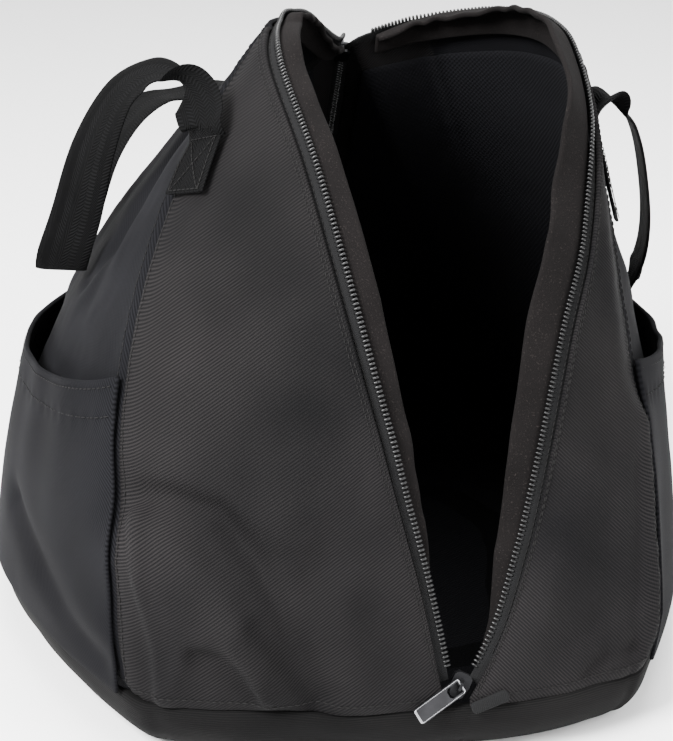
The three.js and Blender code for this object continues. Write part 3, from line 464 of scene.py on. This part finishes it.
def mesh_dots(tree):
    """Knitted spacer mesh: rows of small dark holes in a blue-black ground."""
    place = add(tree, "ShaderNodeUVMap", uv_map="weave").outputs[0]
    u, v = add(tree, "ShaderNodeSeparateXYZ", {0: place}).outputs[:2]
    a = maths(tree, "SINE", maths(tree, "MULTIPLY", u, math.tau / 0.0026))
    b = maths(tree, "SINE", maths(tree, "MULTIPLY", v, math.tau / 0.0026))
    high = maths(tree, "MULTIPLY_ADD", maths(tree, "MULTIPLY", a, b), 0.5, 0.5)
    return mixed(tree, high, linear("#040405"), linear("#0a0a0d")), high


def fuzzy(tree):
    """Brushed facing with short light fibres caught on it."""
    fibre = cloud(tree, 1400, 3)
    speck = add(tree, "ShaderNodeMapRange", {0: fibre, 1: 0.6, 2: 0.75}).outputs[0]
    ground = mixed(tree, cloud(tree, 40, 2), linear("#070606"), linear("#0f0d0d"))
    return mixed(tree, maths(tree, "MULTIPLY", speck, 0.35), ground, linear("#35302e")), fibre


def ribbed(dark, light, pitch, cross):
    """Narrow woven band: ribs across it and a herringbone of yarns along it."""
    def colour(tree):
        place = add(tree, "ShaderNodeUVMap", uv_map="weave").outputs[0]
        u, v = add(tree, "ShaderNodeSeparateXYZ", {0: place}).outputs[:2]
        zigzag = maths(tree, "PINGPONG", v, cross)
        rib = maths(tree, "SINE", maths(tree, "MULTIPLY", maths(tree, "ADD", u, zigzag), math.tau / pitch))
        high = maths(tree, "MULTIPLY_ADD", rib, 0.5, 0.5)
        shade = maths(tree, "MULTIPLY", high, maths(tree, "MULTIPLY_ADD", cloud(tree, 50, 2), 0.9, 0.1))
        return mixed(tree, shade, linear(dark), linear(light)), high
    return colour


def plain(code, other, scale):
    def colour(tree):
        spot = cloud(tree, scale, 3)
        return mixed(tree, spot, linear(code), linear(other)), spot
    return colour


COOL = {"#020202": "#030305", "#020203": "#030304", "#030303": "#040405"}
# Polyester twill: diagonal ribs lightened by painted sheen, patchy contrast and a soft edge sheen
twill = finish("polyester_twill", woven("#020202", "#201e1e", 0.0012, 0.95), 0.8, deep=0.00024,
               Sheen_Weight=0.002, Sheen_Roughness=0.5, Specular_IOR_Level=0.06)
# The same cloth on the sides with painted shade: darker, ribs finer and hardly lit
painted_shade_side_twill = finish("polyester_twill_painted_side_shade", woven("#020203", "#1e1e21", 0.0011, 0.6), 0.86, deep=0.0001,
                    Sheen_Weight=0.002, Sheen_Roughness=0.5, Specular_IOR_Level=0.045)
# Base band: fine level weave over foam
twill_base = finish("polyester_base_cloth", woven("#030303", "#1d1c1b", 0.0011, 0.6), 0.84, deep=0.00012,
                    Sheen_Weight=0.002, Sheen_Roughness=0.5, Specular_IOR_Level=0.05)
# Lining: knitted mesh with dots of shadow
lining_mesh = finish("knitted_lining_mesh", mesh_dots, 0.9, deep=0.0003, Specular_IOR_Level=0.08)
# Guards: brushed polyester with fuzz
brushed = finish("brushed_polyester", fuzzy, 0.92, deep=0.0002, Sheen_Weight=0.004, Sheen_Roughness=0.6, Specular_IOR_Level=0.05)
# Zip tape: herringbone of fine ribs
tape_weave = finish("woven_zip_tape", ribbed("#040404", "#0f0f11", 0.0009, 0.0012), 0.88, deep=0.0001,
                    Specular_IOR_Level=0.15)
# Coil: smooth nylon that catches points of light
coil_nylon = finish("coil_nylon", plain("#060606", "#0c0c0d", 300), 0.33, deep=0.00002,
                    Specular_IOR_Level=0.28)
# Webbing: thick ribs across, with a woven zigzag
web_weave = finish("nylon_webbing", ribbed("#020202", "#0d0d0e", 0.0018, 0.003), 0.78, deep=0.0003,
                   Specular_IOR_Level=0.04)
# Thread: twisted polyester, a little lighter than the cloth
thread = finish("polyester_thread", plain("#080808", "#131212", 400), 0.75, deep=0.00002,
                Specular_IOR_Level=0.1)
# Slider and pull: plated zinc, dark in the flats; the rims polished, their much brighter colour a painted highlight
zinc = finish("plated_zinc", plain("#161617", "#2b2b2d", 120), 0.36, deep=0.00003, Metallic=0.9)
zinc_painted_highlight = finish("zinc_rim_painted_highlight", plain("#77777a", "#98989a", 120), 0.24, deep=0.00002, Metallic=0.95)


# Cloth panels of the two halves
def panel_grid(half, start, stop, ns, nv, axis, angle):
    s = np.linspace(start, stop, ns)[:, None]
    v = np.linspace(0, 1, nv)[None, :]
    p, n = half.surface(s, v)
    calm = half.smooth(s, v)
    level = calm[..., axis] / 1000
    rise = np.diff(calm, axis=1)
    rise[..., axis] = 0
    up = np.concatenate([np.zeros((ns, 1)), np.cumsum(np.linalg.norm(rise, axis=-1), axis=1)], axis=1)
    return p, n, turned(level, up / 1000, angle)


def make_panel(word, half, kind, start, stop, ns, axis, angle, cloth):
    p, n, uv = panel_grid(half, start, stop, ns, 118, axis, angle)
    inner = p - n * WALL
    inner[..., 2] = np.maximum(inner[..., 2], SEAM_Z - 1)
    return sheet_mesh(f"{kind}_cloth_{word}", p, inner, uv, [cloth],
                      [f"{kind}_panel_{word}"])


for word, half, front_angle in (("left", left, 35), ("right", right, -48)):
    make_panel(word, half, "front", 0, FRONT_CORNER, 96, 0, front_angle, twill)
    make_panel(word, half, "side", FRONT_CORNER, BACK_CORNER, 110, 1, 40, painted_shade_side_twill)
    make_panel(word, half, "back", BACK_CORNER, LAST, 96, 0, 40, twill)


# Base: a padded dish
def make_base():
    ends = np.linspace(0, LAST, 205)
    a = vary(left.rows, ends)[:, :2]
    b = vary(right.rows, ends[:-1])[::-1][:, :2]
    wave = np.concatenate([seam_wave(left, ends), seam_wave(right, ends[:-1])[::-1]])
    ring = np.concatenate([a, b])
    outer = [(REST_INSET + 60, 0), (REST_INSET + 12, 0), (REST_INSET, 0.1), (21, 0.7), (15.6, 2.2),
             (11, 4.2), (7.8, 7), (4.6, 10.6), (2.6, 14), (1, 18.5), (0.3, 22.5), (0.2, 25), (0.8, 26.6), (1.9, 27.4)]
    inner = [(BASE_WALL - 0.6, 27.4), (BASE_WALL + 0.6, 26.2), (6.6, 22.5), (7.8, 18.6), (9.4, 15), (13, 11.4),
             (18.5, 8.5), (25, 7.4), (31.5, 7), (40, 7), (BASE_WALL + REST_INSET + 60, 7)]
    profile = vary(np.array(outer, float), np.linspace(0, len(outer) - 1, 40))
    profile = np.concatenate([profile, vary(np.array(inner, float), np.linspace(0, len(inner) - 1, 26))])
    reach = np.linalg.norm(ring, axis=1)
    points = []
    for inset, z in profile:
        rise = wave * np.clip((z - 14) / 12, 0, 1)
        plump = 0.7 * np.array([noise.noise(Vector((x / 22, y / 22, z / 9))) for x, y in ring])
        k = 1 - (inset + plump * (z > 3)) / reach
        points.append(np.column_stack([ring * k[:, None], z + rise]))
    grid = np.array(points)
    rows, n = grid.shape[:2]
    lengths = np.linalg.norm(np.diff(np.vstack([ring, ring[:1]]), axis=0), axis=1)
    around = np.concatenate([[0], np.cumsum(lengths)])[:n] / 1000
    down = np.concatenate([[0], np.cumsum(np.linalg.norm(np.diff(profile, axis=0), axis=1))]) / 1000
    uv = np.stack(np.meshgrid(around, down), axis=-1)
    flat_points = np.vstack([grid.reshape(-1, 3), [[0, 0, 0], [0, 0, BASE_FLOOR]]])
    flat_uv = np.vstack([uv.reshape(-1, 2), [[0, 0], [0, 0]]])
    for row in (0, rows - 1):
        flat_uv[row * n:(row + 1) * n] = grid[row][:, :2] / 1000
    faces, lined = [], []
    for i in range(rows - 1):
        for j in range(n):
            e = (j + 1) % n
            faces.append((i * n + j, i * n + e, (i + 1) * n + e, (i + 1) * n + j))
            lined.append(int(i >= 42))
    for j in range(n):
        e = (j + 1) % n
        faces.append((rows * n, e, j))
        faces.append((rows * n + 1, (rows - 1) * n + j, (rows - 1) * n + e))
        lined += [0, 1]
    return build("base_padding", flat_points, faces, flat_uv, [twill_base, lining_mesh],
                 ["base_panel"], second=lined)


base = make_base()


# Slip pockets on the sides, their hems standing a little open
def pocket_point(half, s, v_share):
    top = 0.43 - 0.03 * np.maximum(1 - ((s - 9) / 2) ** 2, 0) + 0.06 * np.clip((9 - s) / 2, 0, 1) ** 2
    v = v_share * top
    p, n = half.smooth(s, v), half.normal(s, v)
    round_ = np.maximum(1 - np.abs((s - 9) / 2) ** 2.5, 0)
    gape = 0.9 + 8.5 * round_ * np.clip(v / 0.43, 0, 1) ** 2
    soft = 0.5 * np.sin(s * 7 + 2 * np.sin(s * 3)) * v_share**2 * round_
    hem = 0.5 * np.clip((v_share - 0.88) / 0.02, 0, 1)
    pull = 0.3 * np.sin(s * 40) * np.exp(-(((v_share - 0.88) / 0.03) ** 2))
    return p, n, gape + soft + pull, hem


def make_pocket(word, half):
    s = np.linspace(7.03, 10.97, 90)[:, None] * np.ones((1, 60))
    share = np.linspace(0, 1, 60)[None, :] * np.ones((90, 1))
    p, n, gape, hem = pocket_point(half, s, share)
    fine = np.array([noise.noise(Vector(q) / 22) for q in p.reshape(-1, 3)]).reshape(s.shape)
    outer = p + n * (gape + 1.8 + hem + 0.7 * fine * share)[..., None]
    inner = p + n * (gape + 0.7 * np.minimum(fine, 0) * share)[..., None]
    for grid in (outer, inner):
        grid[..., 2] = np.maximum(grid[..., 2], SEAM_Z)
    uv = turned(outer[..., 1] / 1000, length_down(outer, 1), 40)
    return sheet_mesh(f"pocket_cloth_{word}", outer, inner, uv, [painted_shade_side_twill],
                      [f"pocket_{word}"], bulge=0.7)


pockets = [make_pocket(word, half) for word, half in HALVES]


# Linings with slack wrinkles
def make_lining(word, half):
    s = np.linspace(2.5, 14.5, 170)[:, None] * np.ones((1, 70))
    share = np.linspace(0, 1, 70)[None, :] * np.ones((170, 1))
    reach = np.linalg.norm(half.smooth(s[:, :1], 1 + 0 * s[:, :1]) - half.smooth(s[:, :1], 0 * s[:, :1]), axis=-1)
    v = share * (1 - 12.5 / (reach * 0.72))
    p, n = half.surface(s, v)
    slack = [0.5 + 0.5 * noise.noise(Vector((q[0] / 30, q[1] / 30, q[2] / 60))) for q in p.reshape(-1, 3)]
    slack = np.array(slack).reshape(s.shape) * 2.2 * np.minimum(1, 6 * share) * np.minimum(1, 8 * (1 - share))
    outer, inner = p - n * (2.7 + slack)[..., None], p - n * (3.7 + slack)[..., None]
    for grid in (outer, inner):
        grid[..., 2] = np.maximum(grid[..., 2], SEAM_Z)
    uv = np.stack([length_down(outer, 0), length_down(outer, 1)], axis=-1)
    return sheet_mesh(f"lining_cloth_{word}", outer, inner, uv, [lining_mesh],
                      [f"lining_{word}"])


linings = [make_lining(word, half) for word, half in HALVES]


# Zip tapes and guards, both strips along the cloth edge
def strip_points(half, s, across, out):
    edge, o, a, _ = zip_frame(half, s)
    return edge + a * across[..., None] + o * out[..., None]


def make_tape(word, half):
    s = np.linspace(station_at(half, 6.5), LAST - 0.2, 420)
    end = chain_reach(half, s) - TOOTH_WIDTH + 0.9
    turn = np.linalg.norm(np.cross(half.edge_out(s), zip_frame(half, s)[1]), axis=-1)
    k = np.clip(joined(s) / 0.6, 0, 1)
    start = -3 * np.clip(s - 0.6, 0, 1) * (1 - k) + (0.1 + WALL * turn) * k
    top = tape_top(s)
    share = np.linspace(0, 1, 9)
    s2 = s[:, None] * np.ones(9)
    across = start[:, None] + (end - start)[:, None] * share
    ripple = 0.12 * np.sin(s2 * 23) * share
    outer = strip_points(half, s2, across, top[:, None] + ripple)
    inner = strip_points(half, s2, across, top[:, None] - TAPE_THICK + ripple)
    uv = np.stack([length_down(outer, 0), across / 1000], axis=-1)
    return sheet_mesh(f"tape_cloth_{word}", outer, inner, uv, [tape_weave], [f"zip_tape_{word}"])


def make_guard(word, half, table):
    table = np.array(table, float)
    s = np.linspace(table[0, 0], table[-1, 0], 300)
    width = np.interp(s, table[:, 0], table[:, 1])
    tilt = np.radians(np.interp(s, table[:, 0], table[:, 2]))
    bend = np.minimum(width * 0.5, SETBACK + 1)
    reach = np.maximum(width - bend, 1.5)
    top = -TAPE_DEPTH - TAPE_THICK / 2 - TOOTH_HEIGHT / 2 - 0.75
    n = 22
    k = np.linspace(-1, 1, n)[None, :]
    lap = bend + 6
    flat = bend[:, None] + np.minimum(k, 0) * lap[:, None]
    far = np.maximum(k, 0) * reach[:, None]
    x = flat + far * np.cos(tilt)[:, None]
    y = top - far * np.sin(tilt)[:, None]
    wave = 0.55 * np.sin(s * 9 + 1.5 * np.sin(s * 2.3))[:, None] * np.maximum(k, 0) ** 2
    nx, ny = np.gradient(x, axis=1), np.gradient(y, axis=1)
    size = np.hypot(nx, ny)
    nx, ny = -ny / size, nx / size
    bead = 2.6 * (0.82 + 0.28 * np.exp(-(((k - 0.93) / 0.09) ** 2)) + 0 * x)
    s2 = s[:, None] * np.ones(n)
    outer = strip_points(half, s2, x + nx * wave, y + ny * wave)
    inner = strip_points(half, s2, x + nx * (wave - bead), y + ny * (wave - bead))
    uv = np.stack([length_down(outer, 0), length_down(outer, 1)], axis=-1)
    return sheet_mesh(f"guard_padding_{word}", outer, inner, uv, [brushed],
                      [f"zip_guard_{word}"], bulge=0.9, steps=4)


tapes = [make_tape(word, half) for word, half in HALVES]
guards = [make_guard("left", left, LEFT_GUARD), make_guard("right", right, RIGHT_GUARD)]


# Webbing handles
def sewn_end(half, spots):
    rows = []
    for i, (s, v) in enumerate(spots):
        p, n = half.smooth(s, v), half.normal(s, v)
        sb, vb = spots[1 if i == 0 else i - 1]
        t = unit((half.smooth(sb, vb) - p) * (1 if i == 0 else -1))
        rows.append([*(p + n * (STRAP_LIFT + WEB_THICK / 2)), *unit(np.cross(n, t))])
    return np.array(rows)


def strap_frame(table, ends, place):
    rows = np.array(table, float) * [WIDTH / 200, DEPTH / 200, HEIGHT / 100, 1, 1, 1]
    rows = np.vstack([ends[0], rows, ends[1]])
    at = vary(rows, place)
    ahead = unit(vary(rows, place + 0.1)[..., :3] - vary(rows, place - 0.1)[..., :3])
    across = at[..., 3:] - ahead * np.sum(at[..., 3:] * ahead, axis=-1, keepdims=True)
    across = unit(across)
    return at[..., :3], ahead, across, unit(np.cross(ahead, across)), len(rows) - 1


FLIP = [1, 1, 1, -1, -1, -1]
STRAPS = {
    "left": (LEFT_LOOP, [sewn_end(left, [(6.5, .77), (6.5, .81), (6.5, .85)]) * FLIP,
                         sewn_end(left, [(10.667, .86), (10.667, .8), (10.667, .72)])]),
    "right": (RIGHT_LOOP, [sewn_end(right, [(7.667, .68), (7.667, .76), (7.667, .84)]) * FLIP,
                           sewn_end(right, [(10.333, .82), (10.333, .76), (10.333, .7)])]),
}


def make_strap(word):
    table, ends = STRAPS[word]
    last = len(table) + 5
    place = np.linspace(0, last, 260)
    p, _, across, n, _ = strap_frame(table, ends, place)
    k = np.linspace(-1, 1, 13)[None, :, None]
    edge = 0.55 * np.abs(k) ** 8
    cup = 0.35 * (1 - k**2)
    w, h = WEB_WIDTH / 2, WEB_THICK / 2
    outer = p[:, None] + across[:, None] * k * w + n[:, None] * (h * (1 - edge) + cup)
    inner = p[:, None] + across[:, None] * k * w + n[:, None] * (-h * (1 - edge) + cup)
    uv = np.stack([length_down(outer, 0), (k[..., 0] + 1) * 0.012 + np.zeros((260, 13))], axis=-1)
    return sheet_mesh(f"webbing_{word}", outer, inner, uv, [web_weave], [f"handle_{word}"])


straps = [make_strap("left"), make_strap("right")]


# Repeats: one small piece set along many places by Geometry Nodes
def small_piece(name, length, width, height, rings, sides, power):
    """Rounded bead, long along x, with its face up z."""
    bm = bmesh.new()
    bmesh.ops.create_uvsphere(bm, u_segments=sides, v_segments=rings, radius=1)
    for vert in bm.verts:
        x, y, z = vert.co.z, vert.co.x, vert.co.y
        vert.co = (math.copysign(abs(x) ** power, x) * length / 2000, y * width / 2000, z * height / 2000)
    mesh = bpy.data.meshes.new(name)
    bm.to_mesh(mesh)
    bm.free()
    mesh.polygons.foreach_set("use_smooth", [True] * len(mesh.polygons))
    obj = bpy.data.objects.new(name, mesh)
    bpy.context.scene.collection.objects.link(obj)
    return obj


def repeat_tree(name):
    tree = bpy.data.node_groups.new(name, "GeometryNodeTree")
    sockets = {}
    for label, kind in (("Places", "NodeSocketGeometry"), ("Piece", "NodeSocketObject"),
                        ("Size spread", "NodeSocketFloat"), ("Seed", "NodeSocketInt"),
                        ("Finish", "NodeSocketMaterial")):
        sockets[label] = tree.interface.new_socket(label, in_out="INPUT", socket_type=kind).identifier
    tree.interface.new_socket("Pieces", in_out="OUTPUT", socket_type="NodeSocketGeometry")
    given = add(tree, "NodeGroupInput")
    piece = add(tree, "GeometryNodeObjectInfo", {"Object": given.outputs["Piece"]})
    turn = add(tree, "GeometryNodeInputNamedAttribute", {"Name": "turn"}, data_type="FLOAT_VECTOR")
    low = maths(tree, "SUBTRACT", 1.0, given.outputs["Size spread"])
    high = maths(tree, "ADD", 1.0, given.outputs["Size spread"])
    size = add(tree, "FunctionNodeRandomValue", {2: low, 3: high, "Seed": given.outputs["Seed"]}, data_type="FLOAT")
    placed = add(tree, "GeometryNodeInstanceOnPoints", {
        "Points": given.outputs["Places"], "Instance": piece.outputs["Geometry"],
        "Rotation": turn.outputs["Attribute"], "Scale": size.outputs[1]})
    real = add(tree, "GeometryNodeRealizeInstances", {0: placed.outputs[0]})
    done = add(tree, "GeometryNodeSetMaterial", {"Geometry": real.outputs[0], "Material": given.outputs["Finish"]})
    out = add(tree, "NodeGroupOutput")
    tree.links.new(done.outputs[0], out.inputs[0])
    return tree, sockets


TREE, SOCKETS = repeat_tree("pieces_on_places")


def repeat(name, places, piece, material, spread, seed, replaced=()):
    """Plain mesh of one piece at every place; a place is a point, the way along and the way out."""
    mesh = bpy.data.meshes.new(name + "_places")
    mesh.from_pydata([(np.array(p) / 1000).tolist() for p, _, _ in places], [], [])
    turns = []
    for _, ahead, out in places:
        x = Vector(ahead).normalized()
        z = (Vector(out) - x * Vector(out).dot(x)).normalized()
        turns += list(Matrix((x, z.cross(x), z)).transposed().to_euler())
    mesh.attributes.new("turn", "FLOAT_VECTOR", "POINT").data.foreach_set("vector", turns)
    obj = bpy.data.objects.new(name, mesh)
    bpy.context.scene.collection.objects.link(obj)
    modifier = obj.modifiers.new("pieces", "NODES")
    modifier.node_group = TREE
    for label, value in (("Piece", piece), ("Size spread", spread), ("Seed", seed), ("Finish", material)):
        modifier[SOCKETS[label]] = value
    bpy.context.view_layer.update()
    graph = bpy.context.evaluated_depsgraph_get()
    real = bpy.data.meshes.new_from_object(obj.evaluated_get(graph))
    obj.modifiers.remove(modifier)
    obj.data = real
    if not real.materials:
        real.materials.append(material)
    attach(obj, "bag")
    if replaced:
        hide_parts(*replaced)
    return obj


tooth = small_piece("tooth_piece", 3.6, 1.45, 2.3, 5, 8, 0.6)
stitch = small_piece("stitch_piece", 2.5, 0.62, 0.5, 4, 6, 0.7)


def spaced(points, pitch):
    """Places at an even pitch along a line of points: index as a fraction."""
    run = np.concatenate([[0], np.cumsum(np.linalg.norm(np.diff(points, axis=0), axis=1))])
    return np.interp(np.arange(pitch / 2, run[-1], pitch), run, np.arange(len(points)))


def at(values, k):
    i = np.minimum(k.astype(int), len(values) - 2)
    f = (k - i)[:, None]
    return values[i] * (1 - f) + values[i + 1] * f


def tooth_row(half, start, stop, shift):
    s = np.linspace(start, stop, 2400)
    reach = np.where(s < SLIDER_ROW, SETBACK, chain_reach(half, s)) - TOOTH_WIDTH / 2 + 0.35
    top = tape_top(s) - TAPE_THICK / 2 + 0.25
    p = strip_points(half, s, reach, top)
    _, out, across, _ = zip_frame(half, s)
    k = spaced(p, 1.0)[shift::2]
    return list(zip(at(p, k), at(across, k), at(out, k)))


for number, (word, half) in enumerate(HALVES):
    repeat(f"coil_{word}", tooth_row(half, station_at(half, 12), 11.75, number), tooth, coil_nylon,
           0.02, 3 + number, [f"zip_teeth_{word}"])
repeat("coil_back", tooth_row(left, 12.25, LAST - 0.1, 0) + tooth_row(right, 12.25, LAST - 0.1, 1),
       tooth, coil_nylon, 0.02, 5, ["zip_teeth_back"])


def seam_stitches(half, s, v, aside=0.0, lift=0.15, pitch=3.3):
    """Stitches on the cloth along a path of stations and height shares, moved aside in mm."""
    s, v = np.broadcast_arrays(np.asarray(s, float), np.asarray(v, float))
    p, n = half.surface(s, v)
    ahead = unit(np.gradient(p, axis=0))
    p = p + np.cross(n, ahead) * aside + n * lift
    k = spaced(p, pitch)
    return list(zip(at(p, k), at(ahead, k), at(n, k)))


lines = []
for word, half in HALVES:
    up, whole = np.linspace(0.02, 0.97, 260), np.linspace(0.3, 16.7, 900)
    for seam in (FRONT_CORNER, BACK_CORNER):
        width = np.linalg.norm(half.smooth(seam + 0.05, up) - half.smooth(seam - 0.05, up), axis=-1) / 0.1
        lines += seam_stitches(half, seam - 4.6 / width, up)
        lines += seam_stitches(half, seam + 4.6 / width, up)
    rise = np.linalg.norm(half.smooth(whole, 0.05 + 0 * whole) - half.smooth(whole, 0 * whole), axis=-1) / 0.05
    lines += seam_stitches(half, whole, 4.4 / rise)
    for back in (2.6, 5.4):
        top = np.linalg.norm(half.smooth(whole, 1 + 0 * whole) - half.smooth(whole, 0.95 + 0 * whole), axis=-1)
        lines += seam_stitches(half, whole, 1 - back * 0.05 / top)
repeat("cloth_stitches", lines, stitch, thread, 0.06, 11)

hems = []
for word, half in HALVES:
    for share in (0.885, 0.975):
        s = np.linspace(7.06, 10.94, 300)
        p, n, gape, hem = pocket_point(half, s, share + 0 * s)
        p = p + n * (gape + 1.95 + hem)[:, None]
        ahead, k = unit(np.gradient(p, axis=0)), spaced(p, 3.3)
        hems += list(zip(at(p, k), at(ahead, k), at(n, k)))
repeat("pocket_stitches", hems, stitch, thread, 0.06, 12)

sewn = []
for word in STRAPS:
    table, ends = STRAPS[word]
    last = len(table) + 5
    for a, b in ((0.1, 1.9), (last - 0.1, last - 1.9)):
        for path in ([(a, -.8), (b, -.8)], [(a, .8), (b, .8)], [(a, -.8), (a, .8)], [(b, -.8), (b, .8)],
                     [(a, -.8), (b, .8)], [(a, .8), (b, -.8)]):
            place = np.linspace(path[0][0], path[1][0], 60)
            side = np.linspace(path[0][1], path[1][1], 60)
            p, _, across, n, _ = strap_frame(table, ends, place)
            out = np.sign(np.sum(n * p, axis=-1, keepdims=True)) * n
            p = p + across * (side * WEB_WIDTH / 2)[:, None] + out * (WEB_THICK / 2 + 0.25)
            ahead, k = unit(np.gradient(p, axis=0)), spaced(p, 2.9)
            sewn += list(zip(at(p, k), at(ahead, k), at(out, k)))
repeat("webbing_stitches", sewn, stitch, thread, 0.06, 13)

table_left, table_right = np.array(LEFT_GUARD, float), np.array(RIGHT_GUARD, float)
edges = []
for word, half in HALVES:
    s = np.linspace(0.8, 11.6, 700)
    p = strip_points(half, s, 0.9 + 0 * s, tape_top(s) + 0.12)
    ahead, k = unit(np.gradient(p, axis=0)), spaced(p, 3.0)
    edges += list(zip(at(p, k), at(ahead, k), at(zip_frame(half, s)[1], k)))
repeat("tape_stitches", edges, stitch, thread, 0.06, 14)

for scratch in (tooth, stitch):
    bpy.data.objects.remove(scratch)


# Metal parts and end tab: the CAD shapes with softened edges
def softened(name, node, material, body, width, segments):
    bm = bmesh.new()
    bm.from_mesh(frame["nodes"][node].data)
    bmesh.ops.remove_doubles(bm, verts=bm.verts, dist=1e-6)
    bmesh.ops.dissolve_limit(bm, angle_limit=0.02, verts=bm.verts, edges=bm.edges)
    sharp = [e for e in bm.edges if len(e.link_faces) == 2 and e.calc_face_angle() > 0.35]
    bmesh.ops.bevel(bm, geom=sharp, offset=width / 1000, segments=segments, profile=0.5,
                    affect="EDGES", clamp_overlap=True)
    mesh = bpy.data.meshes.new(name)
    bm.to_mesh(mesh)
    bm.free()
    mesh.materials.clear()
    mesh.materials.append(material)
    uv = mesh.uv_layers.get("weave") or mesh.uv_layers.new(name="weave")
    co = np.empty(len(mesh.vertices) * 3)
    mesh.vertices.foreach_get("co", co)
    loops = np.empty(len(mesh.loops), int)
    mesh.loops.foreach_get("vertex_index", loops)
    uv.data.foreach_set("uv", co.reshape(-1, 3)[loops][:, :2].ravel())
    mesh.polygons.foreach_set("material_index", [0] * len(mesh.polygons))
    obj = bpy.data.objects.new(name, mesh)
    bpy.context.scene.collection.objects.link(obj)
    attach(obj, body)
    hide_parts(node)
    return obj


def pull_rim(name, body, origin, x, z):
    """Polished bead round the edge of a pull, its bright colour a painted highlight."""
    origin, x, z = (np.array(v, float) for v in (origin, x, z))
    x, z = unit(x), unit(z)
    y = np.cross(z, x)
    path = []
    for cx, cy, start in ((22.4, 2.4, -90), (22.4, 2.4, 0), (0.4, 2.4, 90), (0.4, 2.4, 180)):
        sign = (-1 if start in (-90, 180) else 1)
        for turn in np.radians(np.linspace(start, start + 90, 6)):
            path.append((cx + 0.75 * math.cos(turn), sign * cy + 0.75 * math.sin(turn)))
    path = np.array(path)
    middle = path.mean(axis=0)
    points, faces = [], []
    for px, py in path:
        inward = unit(middle - np.array([px, py])) if abs(px - middle[0]) < 8 else unit(np.array([middle[0] - px, -py]))
        for turn in np.radians(np.arange(0, 360, 36)):
            q = np.array([px, py]) - inward * 0.62 * math.cos(turn)
            points.append(origin * 1000 + x * q[0] + y * q[1] + z * 0.98 * math.sin(turn))
    n = len(path)
    for i in range(n):
        for j in range(10):
            e, f = (i + 1) % n, (j + 1) % 10
            faces.append((i * 10 + j, e * 10 + j, e * 10 + f, i * 10 + f))
    return build(name, points, faces, np.zeros((len(points), 2)), [zinc_painted_highlight], body=body)


softened("front_slider_body", "front_slider", zinc, "bag", 0.22, 2)
softened("rear_slider_body", "rear_slider", zinc, "bag", 0.22, 2)
softened("front_pull_plate", "front_pull", zinc, "front_pull", 0.2, 2)
softened("rear_pull_plate", "rear_pull", zinc, "rear_pull", 0.2, 2)
for joint, body, way, out in (
    ("front_pull_swing", "front_pull", (-0.853238, -0.382828, -0.354158), (-0.086197, -0.934525, 0.345302)),
    ("rear_pull_swing", "rear_pull", (0.0292, 0.722089, -0.691184), (0.150145, 0.641521, 0.752268)),
):
    seat = [j for j in frame["record"]["behaviour"]["joints"] if j["name"] == joint][0]
    where = seat.get("pos_m") or seat.get("pos")
    axis = np.array(seat["axis"], float)
    way = unit(np.array(way))
    pull_rim(f"{body}_rim", body, where, way, np.cross(way, -axis))
tab = softened("end_tab_cloth", "zip_end_tab", tape_weave, "bag", 0.6, 3)
tab.data.polygons.foreach_set("use_smooth", [True] * len(tab.data.polygons))


# Floor, light and camera
floor_mesh = bpy.data.meshes.new("floor")
floor_mesh.from_pydata([(-6, -6, 0), (6, -6, 0), (6, 9, 0), (-6, 9, 0)], [], [(0, 1, 2, 3)])
floor = bpy.data.objects.new("floor", floor_mesh)
bpy.context.scene.collection.objects.link(floor)
pale = finish("matt_white_floor", lambda tree: (mixed(tree, cloud(tree, 2, 1), linear("#f4f4f4"), linear("#f7f7f7")), None), 0.9)
floor_mesh.materials.append(pale)

world = bpy.data.worlds.new("soft_white")
world.use_nodes = True
world.node_tree.nodes["Background"].inputs[0].default_value = linear("#ffffff")
world.node_tree.nodes["Background"].inputs[1].default_value = 1.5
bpy.context.scene.world = world
for name, place, size, power in (("key", (-1.0, -0.75, 1.15), 0.7, 130), ("fill", (0.9, -1.1, 0.9), 1.2, 30),
                                 ("top", (0.1, 0.3, 1.6), 1.2, 55)):
    light = bpy.data.lights.new(name, "AREA")
    light.size = size
    light.energy = power
    lamp = bpy.data.objects.new(name, light)
    lamp.location = place
    lamp.rotation_euler = (Vector((0, 0, 0.12)) - Vector(place)).to_track_quat("-Z", "Y").to_euler()
    bpy.context.scene.collection.objects.link(lamp)

camera = bpy.data.cameras.new("photo_camera")
camera.lens = 94.25
camera.sensor_width = 36
camera.clip_start = 0.05
eye = bpy.data.objects.new("photo_camera", camera)
eye.location = (-0.1341, -0.8932, 0.4522)
eye.rotation_euler = (Vector((0.00034, 0.03374, 0.102)) - eye.location).to_track_quat("-Z", "Y").to_euler()
bpy.context.scene.collection.objects.link(eye)
bpy.context.scene.camera = eye
